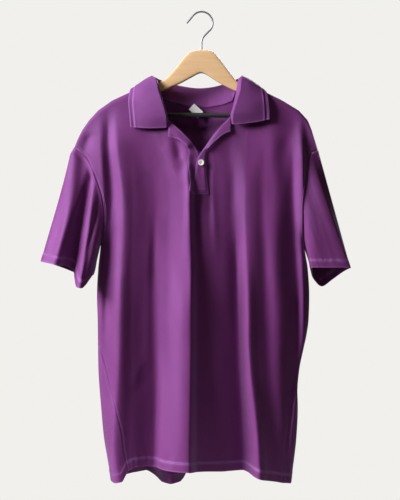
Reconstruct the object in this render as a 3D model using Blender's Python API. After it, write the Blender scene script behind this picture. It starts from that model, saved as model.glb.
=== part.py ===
"""Short-sleeved polo shirt hanging on a wooden hanger.

Frame: metres, X to the right as seen from the front, Z up, the front faces -Y.
The origin is the inside top of the hanger's hook, where a rail or peg bears.
The tables below are in millimetres and the meshes are made in metres.
Left and right in the names of the shirt's pieces are the wearer's, so the
wearer's right is at -X.
"""
import math

import bmesh
import bpy
import numpy as np

MM = 0.001

# ---------------------------------------------------------------- main sizes
CLOTH = 1.5          # wall of the knitted cloth
SEAM_GAP = 0.25      # each panel stops this far short of its seam
SHOULDER_ROLL = 9.5  # radius of the cloth's roll over the hanger's arm
COLLAR_ROLL = 3.2    # radius of the collar's fold
NECK_LEFT_X = -96.0  # the side neck points, where collar and shoulder meet
NECK_RIGHT_X = 80.0
NECK_LEFT_Z = -146.0
NECK_RIGHT_Z = -141.0
UNDERARM_ROW = 0.30  # share of the side's length taken by the armhole
LEVEL_ROW = 0.28     # share by which the rows have levelled out
EVEN_ROW = 0.12      # share by which the columns are evenly spread
BUTTON_RADIUS = 6.3
BUTTON_DEPTH = 2.4
WOOD_HALF = 6.5      # half thickness of the wooden body
WIRE_RADIUS = 1.9
BAR_RADIUS = 4.7

# ------------------------------------------------------------- outline tables
# Shoulder line from sleeve to neck, x and z.
SHOULDER_LEFT = (
    (-269.5, -284.0), (-264.0, -270.0), (-253.6, -249.0), (-238.7, -227.7),
    (-219.6, -207.0), (-190.0, -186.0), (-143.0, -164.0), (-96.0, -146.0),
)
SHOULDER_RIGHT = (
    (80.0, -141.0), (128.0, -164.0), (170.4, -185.0), (206.5, -207.0),
    (225.6, -228.0), (234.0, -249.0), (240.4, -270.0), (246.8, -291.0),
)
# Neckline of the front, a deep V while the placket is open, x and z.
NECK_FRONT = (
    (-96.0, -146.0), (-88.0, -175.0), (-80.0, -203.0), (-73.4, -223.5),
    (-43.7, -251.0), (-20.4, -273.5), (-3.4, -298.5), (-1.0, -300.0),
    (6.6, -288.0), (18.7, -269.0), (32.0, -251.0), (48.3, -236.0),
    (64.0, -216.0), (70.0, -198.0), (76.0, -170.0), (80.0, -141.0),
)
# Neckline of the back, x and z.
NECK_BACK = (
    (-96.0, -146.0), (-92.0, -164.0), (-86.0, -179.0), (-60.0, -189.0),
    (-27.0, -195.0), (13.6, -199.0), (45.0, -194.0), (68.0, -186.0),
    (76.0, -166.0), (80.0, -141.0),
)
# Outermost x of the body's section at each height: z, left, right.
# Above the underarm it lies inside the sleeve and only shapes the roundness.
BODY_SIDES = (
    (-1010, -190.0, 188.0), (-990, -192.0, 190.0), (-945, -199.5, 196.0),
    (-900, -207.0, 201.0), (-836, -213.0, 204.0), (-800, -216.0, 203.0),
    (-758, -218.6, 206.5), (-715, -219.5, 215.0), (-683, -219.6, 222.0),
    (-650, -220.0, 226.5), (-600, -221.5, 228.0), (-545, -219.0, 225.0),
    (-502, -214.5, 218.5), (-488, -213.5, 217.5), (-440, -236.0, 240.0),
    (-400, -256.0, 260.0), (-284, -320.0, 320.0), (-140, -340.0, 340.0),
)
# Half depth of the section at each height, before folds: z, front, back.
BODY_DEPTH = (
    (-1010, 46.0, 43.0), (-970, 46.0, 42.0), (-830, 44.0, 39.0),
    (-673, 41.0, 35.0), (-545, 36.0, 30.0), (-400, 29.0, 24.0),
    (-300, 23.0, 19.0), (-250, 19.0, 16.0), (-200, 14.0, 13.0),
    (-140, 11.0, 11.0),
)
# Armhole seams as seen from the front, z and x; they end at the underarm.
ARMHOLE_LEFT = (
    (-469, -209.5), (-425, -206.0), (-395, -209.0),
    (-363, -218.0), (-334, -230.0), (-309, -242.0), (-296, -255.0),
    (-284, -269.5),
)
ARMHOLE_RIGHT = (
    (-467, 215.5), (-420, 214.5), (-397, 215.6),
    (-376, 217.0), (-344, 220.3), (-312, 225.5), (-298, 234.0),
    (-291, 246.8),
)
# Side seams below the underarm, z and x on the front of the section. Where
# x is past the outline, the seam is on the outline itself.
SIDE_SEAM_LEFT = (
    (-1000, -151.0), (-966, -154.0), (-917, -163.4), (-880, -167.3),
    (-845, -177.0), (-798, -190.0), (-745, -203.7), (-690, -221.0),
    (-640, -240.0), (-500, -260.0),
)
SIDE_SEAM_RIGHT = (
    (-1000, 170.9), (-953, 170.4), (-921, 174.0), (-883, 181.0),
    (-836, 188.0), (-790, 202.0), (-740, 222.0), (-640, 240.0),
    (-500, 260.0),
)
# Front hem, x and z.
FRONT_HEM = (
    (-160.0, -966.0), (-153.0, -966.0), (-140.0, -959.0), (-115.0, -958.0),
    (-94.0, -960.0), (-78.0, -963.0), (-30.0, -963.0), (-8.0, -966.0),
    (30.0, -968.0), (88.0, -968.0), (98.0, -970.0), (110.0, -976.0),
    (130.0, -983.0), (150.0, -988.0), (171.0, -993.0),
)
# Back hem, share of the way from the wearer's left seam to the right, z.
BACK_HEM = (
    (0.0, -993.0), (0.06, -996.0), (0.2, -986.0), (0.35, -977.0),
    (0.5, -978.0), (0.545, -980.0), (0.565, -997.0), (0.59, -1001.0),
    (0.615, -997.0), (0.635, -988.0), (0.66, -979.0), (0.72, -978.0),
    (0.77, -986.0), (0.86, -989.0), (0.93, -992.0), (0.97, -988.0),
    (1.0, -966.0),
)

# ---------------------------------------------------------------- fold tables
FOLD_RELIEF = 1.2     # height of every fold against the tables below
FOLD_LEVELS = {"yoke": -250.0, "chest": -400.0, "waist": -673.0, "hem": -970.0}
# One row for each ridge or trough of the front. Each pair is the line's x and
# how far it stands forward, at the yoke, chest, waist and hem.
FRONT_FOLDS = (
    ("tip ridge, wearer's right", (-217, 4), (-205, 6), (-211, 6), (-193, 8)),
    ("dip beside it", (-200, -3), (-190, -3), (-197, 3), (-190, 12)),
    ("outer ridge", (-179, 3), (-166, 8), (-172, 14), (-185, 17)),
    ("long slope", (-150, 1), (-142, 2), (-147, 2), (-148, 1)),
    ("first trough", (-110, -2), (-99, -7), (-97, -13), (-102, -20)),
    ("rise", (-84, -1), (-74, -3), (-80, -7), (-82, 0)),
    ("great ridge", (-40, 2), (-37, 8), (-25, 20), (-27, 30)),
    ("drop", (-20, 0), (-12, 0), (-9, 3), (-8, 5)),
    ("foot of the drop", (5, -1), (10, -2), (12, -4), (14, -6)),
    ("middle slope", (35, -2), (42, -5), (45, -11), (52, -16)),
    ("middle trough", (58, -3), (68, -8), (77, -17), (87, -25)),
    ("second ridge", (84, -3), (94, 0), (98, 11), (120, 21)),
    ("its tail", (102, -3), (112, -2), (118, 3), (141, 8)),
    ("shallow trough", (126, -2), (130, -4), (134, -2), (156, 2)),
    ("low ridge", (152, 0), (155, 0), (160, 3), (168, 1)),
    ("outer trough", (186, -2), (184, -7), (202, -9), (180, -2)),
    ("tip ridge, wearer's left", (211, 5), (213, 6), (215, 2), (186, 1)),
    ("slot by the sleeve", (225, -3), (222, -2), (220, 0), (188, 0)),
)
# The same for the back, where the numbers say how far it stands backward.
BACK_FOLDS = (
    ("tip ridge, wearer's right", (-212, 4), (-204, 4), (-198, 6), (-176, 8)),
    ("outer trough", (-165, -2), (-160, -4), (-158, -8), (-150, -11)),
    ("outer ridge", (-120, 1), (-112, 5), (-108, 10), (-112, 13)),
    ("deep trough", (-80, -1), (-68, -5), (-62, -12), (-66, -30)),
    ("middle ridge", (-10, 1), (-8, 5), (-10, 9), (-16, 11)),
    ("middle trough", (50, -1), (46, -5), (44, -9), (40, -12)),
    ("second ridge", (110, 1), (104, 5), (98, 10), (92, 13)),
    ("second trough", (160, -2), (156, -4), (150, -9), (142, -11)),
    ("tip ridge, wearer's left", (205, 4), (200, 4), (200, 6), (176, 7)),
)
# Guide lines that the front's columns follow: x on the top edge, just below
# it, and at the chest, waist and hem; None keeps to the armhole and side seam.
FRONT_GUIDES = (
    ("side, wearer's right", None),
    ("hanger tip", (-219.6, -204.0, -168.0, -152.0, -135.0)),
    ("neck point, trough", (-96.0, -112.0, -110.0, -110.0, -101.0)),
    ("V, half way, ridge", (-46.0, -64.0, -42.0, -29.0, -29.0)),
    ("V point", (-1.0, -1.0, 1.0, 2.0, 4.0)),
    ("V, half way up, trough", (38.0, 56.0, 62.0, 76.0, 88.0)),
    ("neck point, far, ridge", (80.0, 96.0, 92.0, 97.0, 120.0)),
    ("hanger tip, far", (206.5, 197.0, 168.0, 152.0, 146.0)),
    ("side, wearer's left", None),
)
FRONT_SEGMENTS = (6, 6, 7, 5, 6, 7, 5, 6)
NECK_CROWDING = 1.8
GUIDE_ROWS = (0.0, 0.06, 0.2, 0.55, 1.0)
# Share of the side's length at each row; close where the cloth rolls over.
ROW_SHARES = (
    0.0, 0.004, 0.01, 0.019, 0.034, 0.056, 0.086, 0.126, 0.176, 0.23, 0.27,
    UNDERARM_ROW, 0.36, 0.43, 0.51, 0.58, 0.66, 0.74, 0.82, 0.89, 0.95, 1.0,
)
# Guide lines of the back: x on the top edge and just below it, and from the
# chest down the share of the way from the wearer's left seam to the right.
BACK_GUIDES = (
    ("side, wearer's left", None, None, 0.0),
    ("hanger tip", 206.5, 194.0, 0.13),
    ("neck point", 80.0, 94.0, 0.35),
    ("middle", -8.0, -8.0, 0.5),
    ("neck point, far", -96.0, -110.0, 0.65),
    ("hanger tip, far", -219.6, -206.0, 0.87),
    ("side, wearer's right", None, None, 1.0),
)
BACK_SEGMENTS = (6, 5, 7, 7, 6, 6)

# -------------------------------------------------------------- sleeve tables
# Hem of each sleeve from its outer corner (0) to the underarm (1):
# share, x, y, z of the front half, then of the back half.
SLEEVE_RIGHT_FRONT_HEM = (
    (0.00, -341.0, 0.0, -526.6), (0.02, -339.5, -10.0, -527.5),
    (0.10, -328.0, -26.0, -530.0), (0.22, -309.0, -36.0, -533.5),
    (0.40, -283.0, -22.5, -538.0), (0.48, -272.0, -22.0, -546.0),
    (0.56, -266.0, -32.0, -565.0), (0.66, -258.0, -47.0, -582.0),
    (0.74, -250.0, -50.0, -583.0), (0.84, -239.5, -43.0, -572.0),
    (0.93, -231.0, -27.0, -558.0), (1.00, -226.5, -5.0, -550.0),
)
SLEEVE_RIGHT_BACK_HEM = (
    (0.00, -341.0, 0.0, -526.6), (0.02, -339.5, 7.0, -527.5),
    (0.12, -322.0, 19.0, -532.5), (0.35, -290.0, 27.0, -544.0),
    (0.55, -268.0, 28.0, -553.0), (0.75, -248.0, 25.0, -560.0),
    (0.92, -232.0, 14.0, -557.0), (1.00, -226.5, -5.0, -550.0),
)
SLEEVE_LEFT_FRONT_HEM = (
    (0.00, 315.5, 0.0, -541.5), (0.02, 315.0, -12.0, -541.5),
    (0.07, 312.0, -26.0, -541.0), (0.30, 286.0, -28.0, -540.0),
    (0.55, 261.0, -26.0, -540.0), (0.75, 243.0, -23.0, -540.0),
    (0.90, 231.0, -16.0, -540.5), (1.00, 233.5, -2.0, -548.0),
)
SLEEVE_LEFT_BACK_HEM = (
    (0.00, 315.5, 0.0, -541.5), (0.02, 314.0, 7.0, -542.5),
    (0.12, 303.0, 17.0, -549.0), (0.35, 280.0, 24.0, -566.0),
    (0.60, 257.0, 25.0, -581.0), (0.80, 243.0, 20.0, -570.0),
    (0.94, 235.0, 10.0, -556.0), (1.00, 233.5, -2.0, -548.0),
)
SLEEVE_RINGS = 12
SLEEVE_ROUNDNESS = 7.0
# Long folds down each sleeve's front: share of the armhole where the fold
# starts, share where it ends at the hem, half width as a share, and height.
SLEEVE_FOLDS = {
    "sleeve_right": ((0.00, 0.26, 0.08, 6.0), (0.22, 0.47, 0.07, -6.5),
                     (0.33, 0.70, 0.075, 8.0)),
    "sleeve_left": ((0.06, 0.07, 0.05, 4.0), (0.84, 0.93, 0.09, -2.0)),
}

# -------------------------------------------------------------- collar stations
# Each row: where the seam lies (front or back neckline, by z or by x), then
# the fold's and the outer edge's x, y, z.
COLLAR_STATIONS = (
    ("end, wearer's right", "front", -73.6, (-76, -27, -246), (-150, -23, -244)),
    ("front", "front", -76.5, (-76.5, -34, -222), (-152.5, -22, -214)),
    ("roll", "front", -82.0, (-84, -33, -195), (-154.5, -20, -190)),
    ("before the shoulder", "front", -89.0, (-94, -25, -167), (-153, -12, -173)),
    ("over the arm", "front", -94.4, (-98, -18, -149), (-152, -7, -166)),
    ("shoulder", "front", -96.0, (-103, -9, -139), (-149, -1, -161)),
    ("peak", "back", -94.4, (-107, 2, -134), (-144, 9, -163)),
    ("behind the peak", "back", -87.0, (-95, 20, -138), (-133, 30, -190)),
    ("back, side", "back", -64.0, (-72, 31, -146), (-106, 36, -212)),
    ("back, quarter", "back", -34.0, (-37, 38, -153), (-56, 40, -226)),
    ("back, middle", "back", -6.0, (-5, 41, -156), (-5, 42, -230)),
    ("back, quarter, far", "back", 26.0, (28, 38, -153), (46, 40, -226)),
    ("back, side, far", "back", 52.0, (57, 31, -146), (92, 36, -212)),
    ("behind the peak, far", "back", 72.5, (79, 19, -138), (115, 30, -190)),
    ("peak, far", "back", 78.6, (87.5, 4, -134), (127, 11, -162)),
    ("shoulder, far", "front", 80.0, (87.5, -9, -137), (131, -1, -162)),
    ("over the arm, far", "front", 79.0, (86, -18, -149), (136, -7, -167)),
    ("before the shoulder, far", "front", 76.5, (84, -25, -168), (139, -12, -174)),
    ("roll, far", "front", 71.0, (76, -33, -191), (141, -20, -190)),
    ("front, far", "front", 67.0, (67.5, -34, -216), (142.5, -22, -208)),
    ("end, wearer's left", "front", 64.4, (67, -27, -239), (143, -23, -228)),
)
COLLAR_CLOTH = 1.6
COLLAR_LIFT = 0.8
COLLAR_INSET = 3.6    # how far inside the neckline the stand starts

# ------------------------------------------------------------- placket stations
# Each row: left edge x, z, then right edge x, z, from the bottom up.
PLACKET_OVER = (
    (-20.4, -385.8, 15.7, -385.8), (-18.7, -367.6, 13.6, -367.6),
    (-14.0, -344.3, 11.0, -344.3), (-11.4, -323.0, 10.0, -321.0),
    (-8.5, -311.0, 10.3, -307.0), (-3.4, -301.0, 11.5, -297.0),
    (4.5, -290.0, 15.5, -288.0), (12.0, -279.5, 20.5, -281.0),
    (23.0, -263.5, 31.5, -271.0), (40.0, -243.0, 47.0, -259.0),
    (60.5, -222.0, 60.5, -253.5),
)
PLACKET_UNDER = (
    (-25.0, -380.0, 4.0, -380.0), (-23.5, -362.0, 3.0, -362.0),
    (-26.0, -335.0, 1.0, -338.0), (-30.0, -316.0, -1.0, -320.0),
    (-28.5, -303.0, -6.0, -305.0), (-28.0, -293.0, -12.0, -290.0),
    (-32.0, -283.5, -22.0, -275.0), (-46.9, -272.5, -38.5, -258.0),
    (-59.0, -268.0, -55.0, -243.0), (-70.0, -264.5, -70.0, -229.5),
)
PLACKET_CLOTH = 1.2
PLACKET_STEPS = 5
# How far each placket's outer face stands off the front panel: along the
# fastened part, and where its edge is turned out.
OVER_LIFT = (3.6, 4.4)
UNDER_LIFT = (1.8, 5.4)
BUTTON_LOWER = (-1.0, -319.5)
BUTTON_UPPER = (-59.0, -254.5)

# -------------------------------------------------------------- hanger tables
# Wooden body: x, top z, bottom z at each station.
WOOD_STATIONS = (
    (-214.0, -211.0, -217.0), (-211.0, -207.5, -222.5), (-205.0, -203.0, -224.0),
    (-187.6, -190.5, -224.0), (-186.9, -190.0, -207.0), (-143.0, -169.0, -189.0),
    (-97.0, -153.5, -172.0), (-75.0, -140.5, -163.2), (-54.3, -117.4, -154.5),
    (-43.2, -102.6, -149.7), (-33.5, -89.9, -144.5), (-24.0, -82.5, -139.0),
    (-14.0, -79.3, -133.5), (0.0, -79.3, -126.0), (14.0, -79.3, -134.0),
    (23.0, -82.5, -140.0), (31.0, -89.9, -145.5), (40.7, -102.6, -151.0),
    (51.7, -116.8, -157.5), (67.0, -137.5, -165.0), (74.0, -146.5, -168.0),
    (90.0, -152.5, -173.0), (128.0, -169.5, -190.0), (179.9, -197.0, -213.0), (180.6, -197.5, -230.0),
    (193.0, -205.5, -230.0), (199.0, -210.0, -229.0), (202.0, -214.0, -224.0),
)
BAR_ENDS = ((-186.4, -213.5), (179.4, -221.0))
HOOK_RADIUS = 23.6
HOOK_START_ANGLE = -50.0
HOOK_END_ANGLE = 140.0
HOOK_TIP_LENGTH = 21.0
HOOK_STEM = ((9.5, -45.5), (3.4, -52.5), (0.4, -60.0), (0.0, -68.0), (0.0, -78.8))
LABEL_CENTRE = (-12.0, 15.0, -206.5)
LABEL_SIZE = (26.0, 17.0)
LABEL_TURN = -42.7

COLOURS = {
    "cloth": (0.165, 0.030, 0.230, 0.85, 0.0),
    "button": (0.80, 0.78, 0.74, 0.35, 0.0),
    "label": (0.85, 0.84, 0.82, 0.8, 0.0),
    "wood": (0.62, 0.38, 0.19, 0.5, 0.0),
    "steel": (0.55, 0.55, 0.55, 0.3, 1.0),
    "bar": (0.02, 0.025, 0.02, 0.45, 0.0),
}


# ------------------------------------------------------------ small functions
def smooth(share):
    """Ease from 0 to 1 with no slope at either end."""
    share = np.clip(share, 0.0, 1.0)
    return share * share * (3.0 - 2.0 * share)


def curve_slopes(xs, ys):
    """Slopes of a curve that never overshoots its points."""
    steps = np.diff(xs)
    rises = np.diff(ys) / steps
    slopes = np.zeros_like(ys)
    slopes[0] = rises[0]
    slopes[-1] = rises[-1]
    same = rises[:-1] * rises[1:] > 0.0
    before = 2.0 * steps[1:] + steps[:-1]
    after = steps[1:] + 2.0 * steps[:-1]
    low = np.where(same, rises[:-1], 1.0)
    high = np.where(same, rises[1:], 1.0)
    mean = (before + after) / (before / low + after / high)
    slopes[1:-1] = np.where(same, mean, 0.0)
    return slopes


def curve_through(x, xs, ys):
    """Value at x of the smooth curve through the points xs, ys."""
    xs = np.asarray(xs, float)
    ys = np.asarray(ys, float)
    slopes = curve_slopes(xs, ys)
    x = np.clip(x, xs[0], xs[-1])
    i = np.clip(np.searchsorted(xs, x) - 1, 0, len(xs) - 2)
    step = xs[i + 1] - xs[i]
    t = (x - xs[i]) / step
    value = (2 * t**3 - 3 * t**2 + 1) * ys[i] + (t**3 - 2 * t**2 + t) * step * slopes[i]
    return value + (3 * t**2 - 2 * t**3) * ys[i + 1] + (t**3 - t**2) * step * slopes[i + 1]


def from_table(table, key, column=1):
    """Read a column of a table along its first column, smoothly."""
    rows = np.array([row[:] for row in table], float)
    return curve_through(key, rows[:, 0], rows[:, column])


def straight_from(table, key):
    """Read the second column of a table along its first, in straight runs."""
    rows = np.array(table, float)
    return float(np.interp(key, rows[:, 0], rows[:, 1]))


# ----------------------------------------------------------------- body form
def shoulder_z(x):
    """Height of the shoulder line, level across the neck opening."""
    if x < NECK_LEFT_X:
        return straight_from(SHOULDER_LEFT, x)
    if x > NECK_RIGHT_X:
        return straight_from(SHOULDER_RIGHT, x)
    share = (x - NECK_LEFT_X) / (NECK_RIGHT_X - NECK_LEFT_X)
    return NECK_LEFT_Z + (NECK_RIGHT_Z - NECK_LEFT_Z) * share


def body_sides(z):
    """Outermost x of the section on each side."""
    return float(from_table(BODY_SIDES, z, 1)), float(from_table(BODY_SIDES, z, 2))


def fold_depth(table, x, z):
    """How far the folds stand out of the plain section at x, z."""
    levels = list(FOLD_LEVELS.values())
    share = np.interp(z, levels[::-1], [3.0, 2.0, 1.0, 0.0])
    low = min(int(share), 2)
    t = float(smooth(share - low))
    left, right = body_sides(z)
    xs = [left]
    depths = [0.0]
    for row in table:
        (x0, d0), (x1, d1) = row[1 + low], row[2 + low]
        xs.append(x0 + (x1 - x0) * t)
        depths.append(d0 + (d1 - d0) * t)
    xs.append(right)
    depths.append(0.0)
    return float(curve_through(x, xs, depths)) * FOLD_RELIEF


def body_depth(x, z, back):
    """Distance of the cloth's outer face from the hanger's plane."""
    left, right = body_sides(z)
    across = (x - (left + right) / 2.0) / ((right - left) / 2.0)
    roundness = max(0.0, 1.0 - abs(across) ** 2.6) ** (1.0 / 2.6)
    drop = max(0.0, shoulder_z(x) - z)
    full = float(from_table(BODY_DEPTH, z, 2 if back else 1)) * roundness
    neck = math.exp(-((x + 8.0) / 62.0) ** 2 - ((z + 200.0) / 80.0) ** 2)
    full += neck * (20.0 if back else 7.0)
    over_arm = 1.0 - min(drop / SHOULDER_ROLL, 1.0)
    roll = SHOULDER_ROLL * math.sqrt(max(0.0, 1.0 - over_arm**2))
    plain = roll + (full - SHOULDER_ROLL) * float(smooth(drop / 110.0))
    folds = fold_depth(BACK_FOLDS if back else FRONT_FOLDS, x, z)
    fade = float(smooth(drop / 90.0)) * min(1.0, 1.7 * roundness)
    return plain + folds * fade


def around(share):
    """Place across the section for an even step around it, -1 to 1."""
    return 1.25 * share - 0.25 * share**5


def around_inverse(across):
    """The step around the section that reaches a place across it."""
    steps = np.linspace(-1.0, 1.0, 401)
    return float(np.interp(across, around(steps), steps))


def body_point(step, z):
    """Point of the closed section. Steps -1 to 1 are the front, left to
    right, and 1 to 3 the back, right to left."""
    if step > 3.0:
        step -= 4.0
    left, right = body_sides(z)
    back = step > 1.0
    across = around(2.0 - step) if back else around(step)
    x = (left + right) / 2.0 + across * (right - left) / 2.0
    y = body_depth(x, z, back)
    return np.array((x, y if back else -y, z))


def step_at(x, z):
    """Step of the front of the section that lies at x."""
    left, right = body_sides(z)
    across = (x - (left + right) / 2.0) / ((right - left) / 2.0)
    return around_inverse(np.clip(across, -1.0, 1.0))


SIDES = {
    "right": {"sign": -1, "tip": -284.0, "hem": -966.0, "armhole": ARMHOLE_LEFT,
              "seam": SIDE_SEAM_LEFT},
    "left": {"sign": 1, "tip": -291.0, "hem": -993.0, "armhole": ARMHOLE_RIGHT,
             "seam": SIDE_SEAM_RIGHT},
}


def side_z(side, row):
    """Height of a row on the armhole and side seam."""
    return side["tip"] + (side["hem"] - side["tip"]) * row


def edge_step(side, row):
    """Step of the armhole or side seam at a row, on the front."""
    z = side_z(side, row)
    if row >= UNDERARM_ROW:
        return step_at(straight_from(side["seam"], z), z)
    table = side["armhole"]
    under = side_z(side, UNDERARM_ROW)
    edge = body_sides(under)[0 if side["sign"] < 0 else 1]
    rows = ((under, edge),) + table
    return step_at(float(from_table(rows, z)), z)


def spread(marks, segments):
    """Places between marks, with the given number of steps in each gap."""
    places = []
    for (start, end), count in zip(zip(marks[:-1], marks[1:]), segments):
        places.extend(start + (end - start) * i / count for i in range(count))
    places.append(marks[-1])
    return places


def along(outline, marks, segments):
    """Points of an outline between marks in x, evenly spaced by its length
    but crowded towards the side neck points."""
    places = np.array(outline, float)
    lengths = np.concatenate(([0.0], np.cumsum(np.linalg.norm(np.diff(places, axis=0), axis=1))))
    stops = np.interp(marks, places[:, 0], lengths)
    points = []
    for k, count in enumerate(segments):
        for i in range(count):
            share = i / count
            if marks[k] == NECK_LEFT_X:
                share = share**NECK_CROWDING
            elif marks[k + 1] == NECK_RIGHT_X:
                share = 1.0 - (1.0 - share)**NECK_CROWDING
            stop = stops[k] + (stops[k + 1] - stops[k]) * share
            points.append([float(np.interp(stop, lengths, places[:, c])) for c in (0, 1)])
    points.append(list(places[-1]))
    return points


def row_heights(row, top_z, hem_z, first, last):
    """Height of each column at a row: it follows the top edge, then levels
    out by the underarm and ends on the hem."""
    count = len(top_z) - 1
    fade = max(0.0, 1.0 - row / LEVEL_ROW)
    heights = []
    for column, (top, hem) in enumerate(zip(top_z, hem_z)):
        share = column / count
        ends = [side_z(SIDES[first], at) * (1.0 - share) + side_z(SIDES[last], at) * share
                for at in (0.0, row, 1.0)]
        heights.append(ends[1] + (top - ends[0]) * fade + (hem - ends[2]) * row**2)
    return heights


def front_grid():
    """Outer points of the front panel, rows down and columns across."""
    tops = [SHOULDER_LEFT[0][0]]
    tops += [guide[1][0] for guide in FRONT_GUIDES[1:-1]]
    tops.append(SHOULDER_RIGHT[-1][0])
    hems = [-153.0] + [guide[1][-1] for guide in FRONT_GUIDES[1:-1]] + [171.0]
    outline = SHOULDER_LEFT[:-1] + NECK_FRONT + SHOULDER_RIGHT[1:]
    top_x, top_z = zip(*along(outline, tops, FRONT_SEGMENTS))
    hem_x = spread(hems, FRONT_SEGMENTS)
    hem_z = [straight_from(FRONT_HEM, x) for x in hem_x]
    top_steps = [step_at(x, z) for x, z in zip(top_x, top_z)]
    grid = []
    for row in ROW_SHARES:
        marks = []
        heights = row_heights(row, top_z, hem_z, "right", "left")
        for k, guide in enumerate(FRONT_GUIDES):
            z = heights[sum(FRONT_SEGMENTS[:k])]
            if guide[1] is None:
                marks.append(edge_step(SIDES["right" if k == 0 else "left"], row))
            else:
                marks.append(step_at(float(curve_through(row, GUIDE_ROWS, guide[1])), z))
        steps = np.array(spread(marks, FRONT_SEGMENTS))
        if row == 0.0:
            uneven = np.array(top_steps) - steps
        steps += uneven * (1.0 - smooth(row / EVEN_ROW))
        grid.append([body_point(step, z) for step, z in zip(steps, heights)])
    return np.array(grid)


def back_grid():
    """Outer points of the back panel, from the wearer's left to the right."""
    tops = [SHOULDER_LEFT[0][0]]
    tops += [guide[1] for guide in BACK_GUIDES[-2:0:-1]]
    tops.append(SHOULDER_RIGHT[-1][0])
    shares = spread([guide[3] for guide in BACK_GUIDES], BACK_SEGMENTS)
    outline = SHOULDER_LEFT[:-1] + NECK_BACK + SHOULDER_RIGHT[1:]
    top_x, top_z = zip(*along(outline, tops, BACK_SEGMENTS[::-1])[::-1])
    hem_z = [straight_from(BACK_HEM, share) for share in shares]
    top_steps = [2.0 - step_at(x, z) for x, z in zip(top_x, top_z)]
    grid = []
    for row in ROW_SHARES:
        start = edge_step(SIDES["left"], row)
        end = edge_step(SIDES["right"], row)
        start = 2.0 - start if row < UNDERARM_ROW else start
        end = 2.0 - end if row < UNDERARM_ROW else end + 4.0
        heights = row_heights(row, top_z, hem_z, "left", "right")
        blend = float(smooth(row / 0.3))
        marks = [start]
        for k, (_, x, lower_x, share) in enumerate(BACK_GUIDES[1:-1], 1):
            z = heights[sum(BACK_SEGMENTS[:k])]
            high = 2.0 - step_at(float(np.interp(row, GUIDE_ROWS[:2], (x, lower_x))), z)
            marks.append(high + (start + (end - start) * share - high) * blend)
        marks.append(end)
        steps = np.array(spread(marks, BACK_SEGMENTS))
        if row == 0.0:
            uneven = np.array(top_steps) - steps
        steps += uneven * (1.0 - smooth(row / EVEN_ROW))
        grid.append([body_point(step, z) for step, z in zip(steps, heights)])
    return np.array(grid)


def sleeve_fold(name, share, along):
    """How far a sleeve's long folds stand out, faded in from the armhole."""
    depth = 0.0
    for top, low, width, height in SLEEVE_FOLDS[name]:
        centre = top + (low - top) * along
        depth += height * math.exp(-(((share - centre) / width) ** 2))
    return depth * float(smooth(along / 0.3)) * float(smooth((1.0 - share) / 0.15))


def sleeve_grid(name, front, back, hem_front, hem_back):
    """Rings of a sleeve from the armhole loop to its hem. front and back are
    the panels' armhole edges from the shoulder to the underarm."""
    count = len(front)
    shares = [(front[0][2] - p[2]) / (front[0][2] - front[-1][2]) for p in front]
    rings = []
    for ring in range(SLEEVE_RINGS + 1):
        along = ring / SLEEVE_RINGS
        swell = SLEEVE_ROUNDNESS * math.sin(math.pi * along)
        loop = []
        for i in range(count):
            hem = [float(from_table(hem_front, shares[i], c)) for c in (1, 2, 3)]
            point = front[i] + (np.array(hem) - front[i]) * along
            point[1] -= swell * math.sin(math.pi * shares[i])
            point[1] -= sleeve_fold(name, shares[i], along)
            loop.append(point)
        for i in range(count - 2, 0, -1):
            hem = [float(from_table(hem_back, shares[i], c)) for c in (1, 2, 3)]
            point = back[i] + (np.array(hem) - back[i]) * along
            point[1] += swell * math.sin(math.pi * shares[i])
            loop.append(point)
        rings.append(loop)
    return np.array(rings)


# ------------------------------------------------------------- collar, plackets
def clear_of_body(point, lift):
    """Move a point out until it is the lift off the shirt's body."""
    x, y, z = point
    lowered = z - lift
    if lowered >= shoulder_z(x):
        return point
    back = y > 0.0
    least = body_depth(x, lowered, back) + lift
    if abs(y) >= least:
        return point
    return np.array((x, least if back else -least, z))


def spline(rows, count):
    """Smooth curve through rows of numbers, with count steps in each gap."""
    rows = np.array(rows, float)
    ends = np.vstack([2 * rows[0] - rows[1], rows, 2 * rows[-1] - rows[-2]])
    made = []
    for i in range(len(rows) - 1):
        a, b, c, d = ends[i:i + 4]
        for k in range(count):
            t = k / count
            made.append(0.5 * (2 * b + (c - a) * t + (2 * a - 5 * b + 4 * c - d) * t**2
                               + (3 * b - a - 3 * c + d) * t**3))
    made.append(rows[-1])
    return np.array(made)


def collar_section(seam, fold, edge):
    """Points from the seam up the stand, round the fold and down the leaf."""
    rise = fold - seam
    up = rise / np.linalg.norm(rise)
    fall = edge - fold
    out = fall - up * float(fall @ up)
    out = out / np.linalg.norm(out)
    turn = math.acos(np.clip(float(fall @ up) / np.linalg.norm(fall), -1.0, 1.0))
    centre = fold - up * COLLAR_ROLL
    start = centre - out * COLLAR_ROLL
    points = [seam, seam + (start - seam) * 0.5]
    for k in range(5):
        angle = turn * k / 4
        points.append(centre - out * COLLAR_ROLL * math.cos(angle)
                      + up * COLLAR_ROLL * math.sin(angle))
    last = points[-1]
    normal = np.cross(fall, np.cross(up, out))
    normal = normal / np.linalg.norm(normal)
    if float(normal @ up) < 0.0:
        normal = -normal
    for k in range(1, 6):
        share = k / 5
        bulge = 2.5 * math.sin(math.pi * share)
        points.append(last + (edge - last) * share + normal * bulge)
    return points


def neck_point(x, back):
    """Point of the neckline at x, on the front or the back."""
    z = straight_from(NECK_BACK if back else NECK_FRONT, x)
    y = body_depth(x, z, back)
    return np.array((x, y if back else -y, z))


def neck_path():
    """Close points along the neck seam, round the back from end to end."""
    first, last = COLLAR_STATIONS[0][2], COLLAR_STATIONS[-1][2]
    path = [neck_point(x, False) for x in np.linspace(first, NECK_LEFT_X, 60)]
    path += [neck_point(x, True) for x in np.linspace(NECK_LEFT_X, NECK_RIGHT_X, 300)]
    path += [neck_point(x, False) for x in np.linspace(NECK_RIGHT_X, last, 60)]
    return np.array(path)


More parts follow.
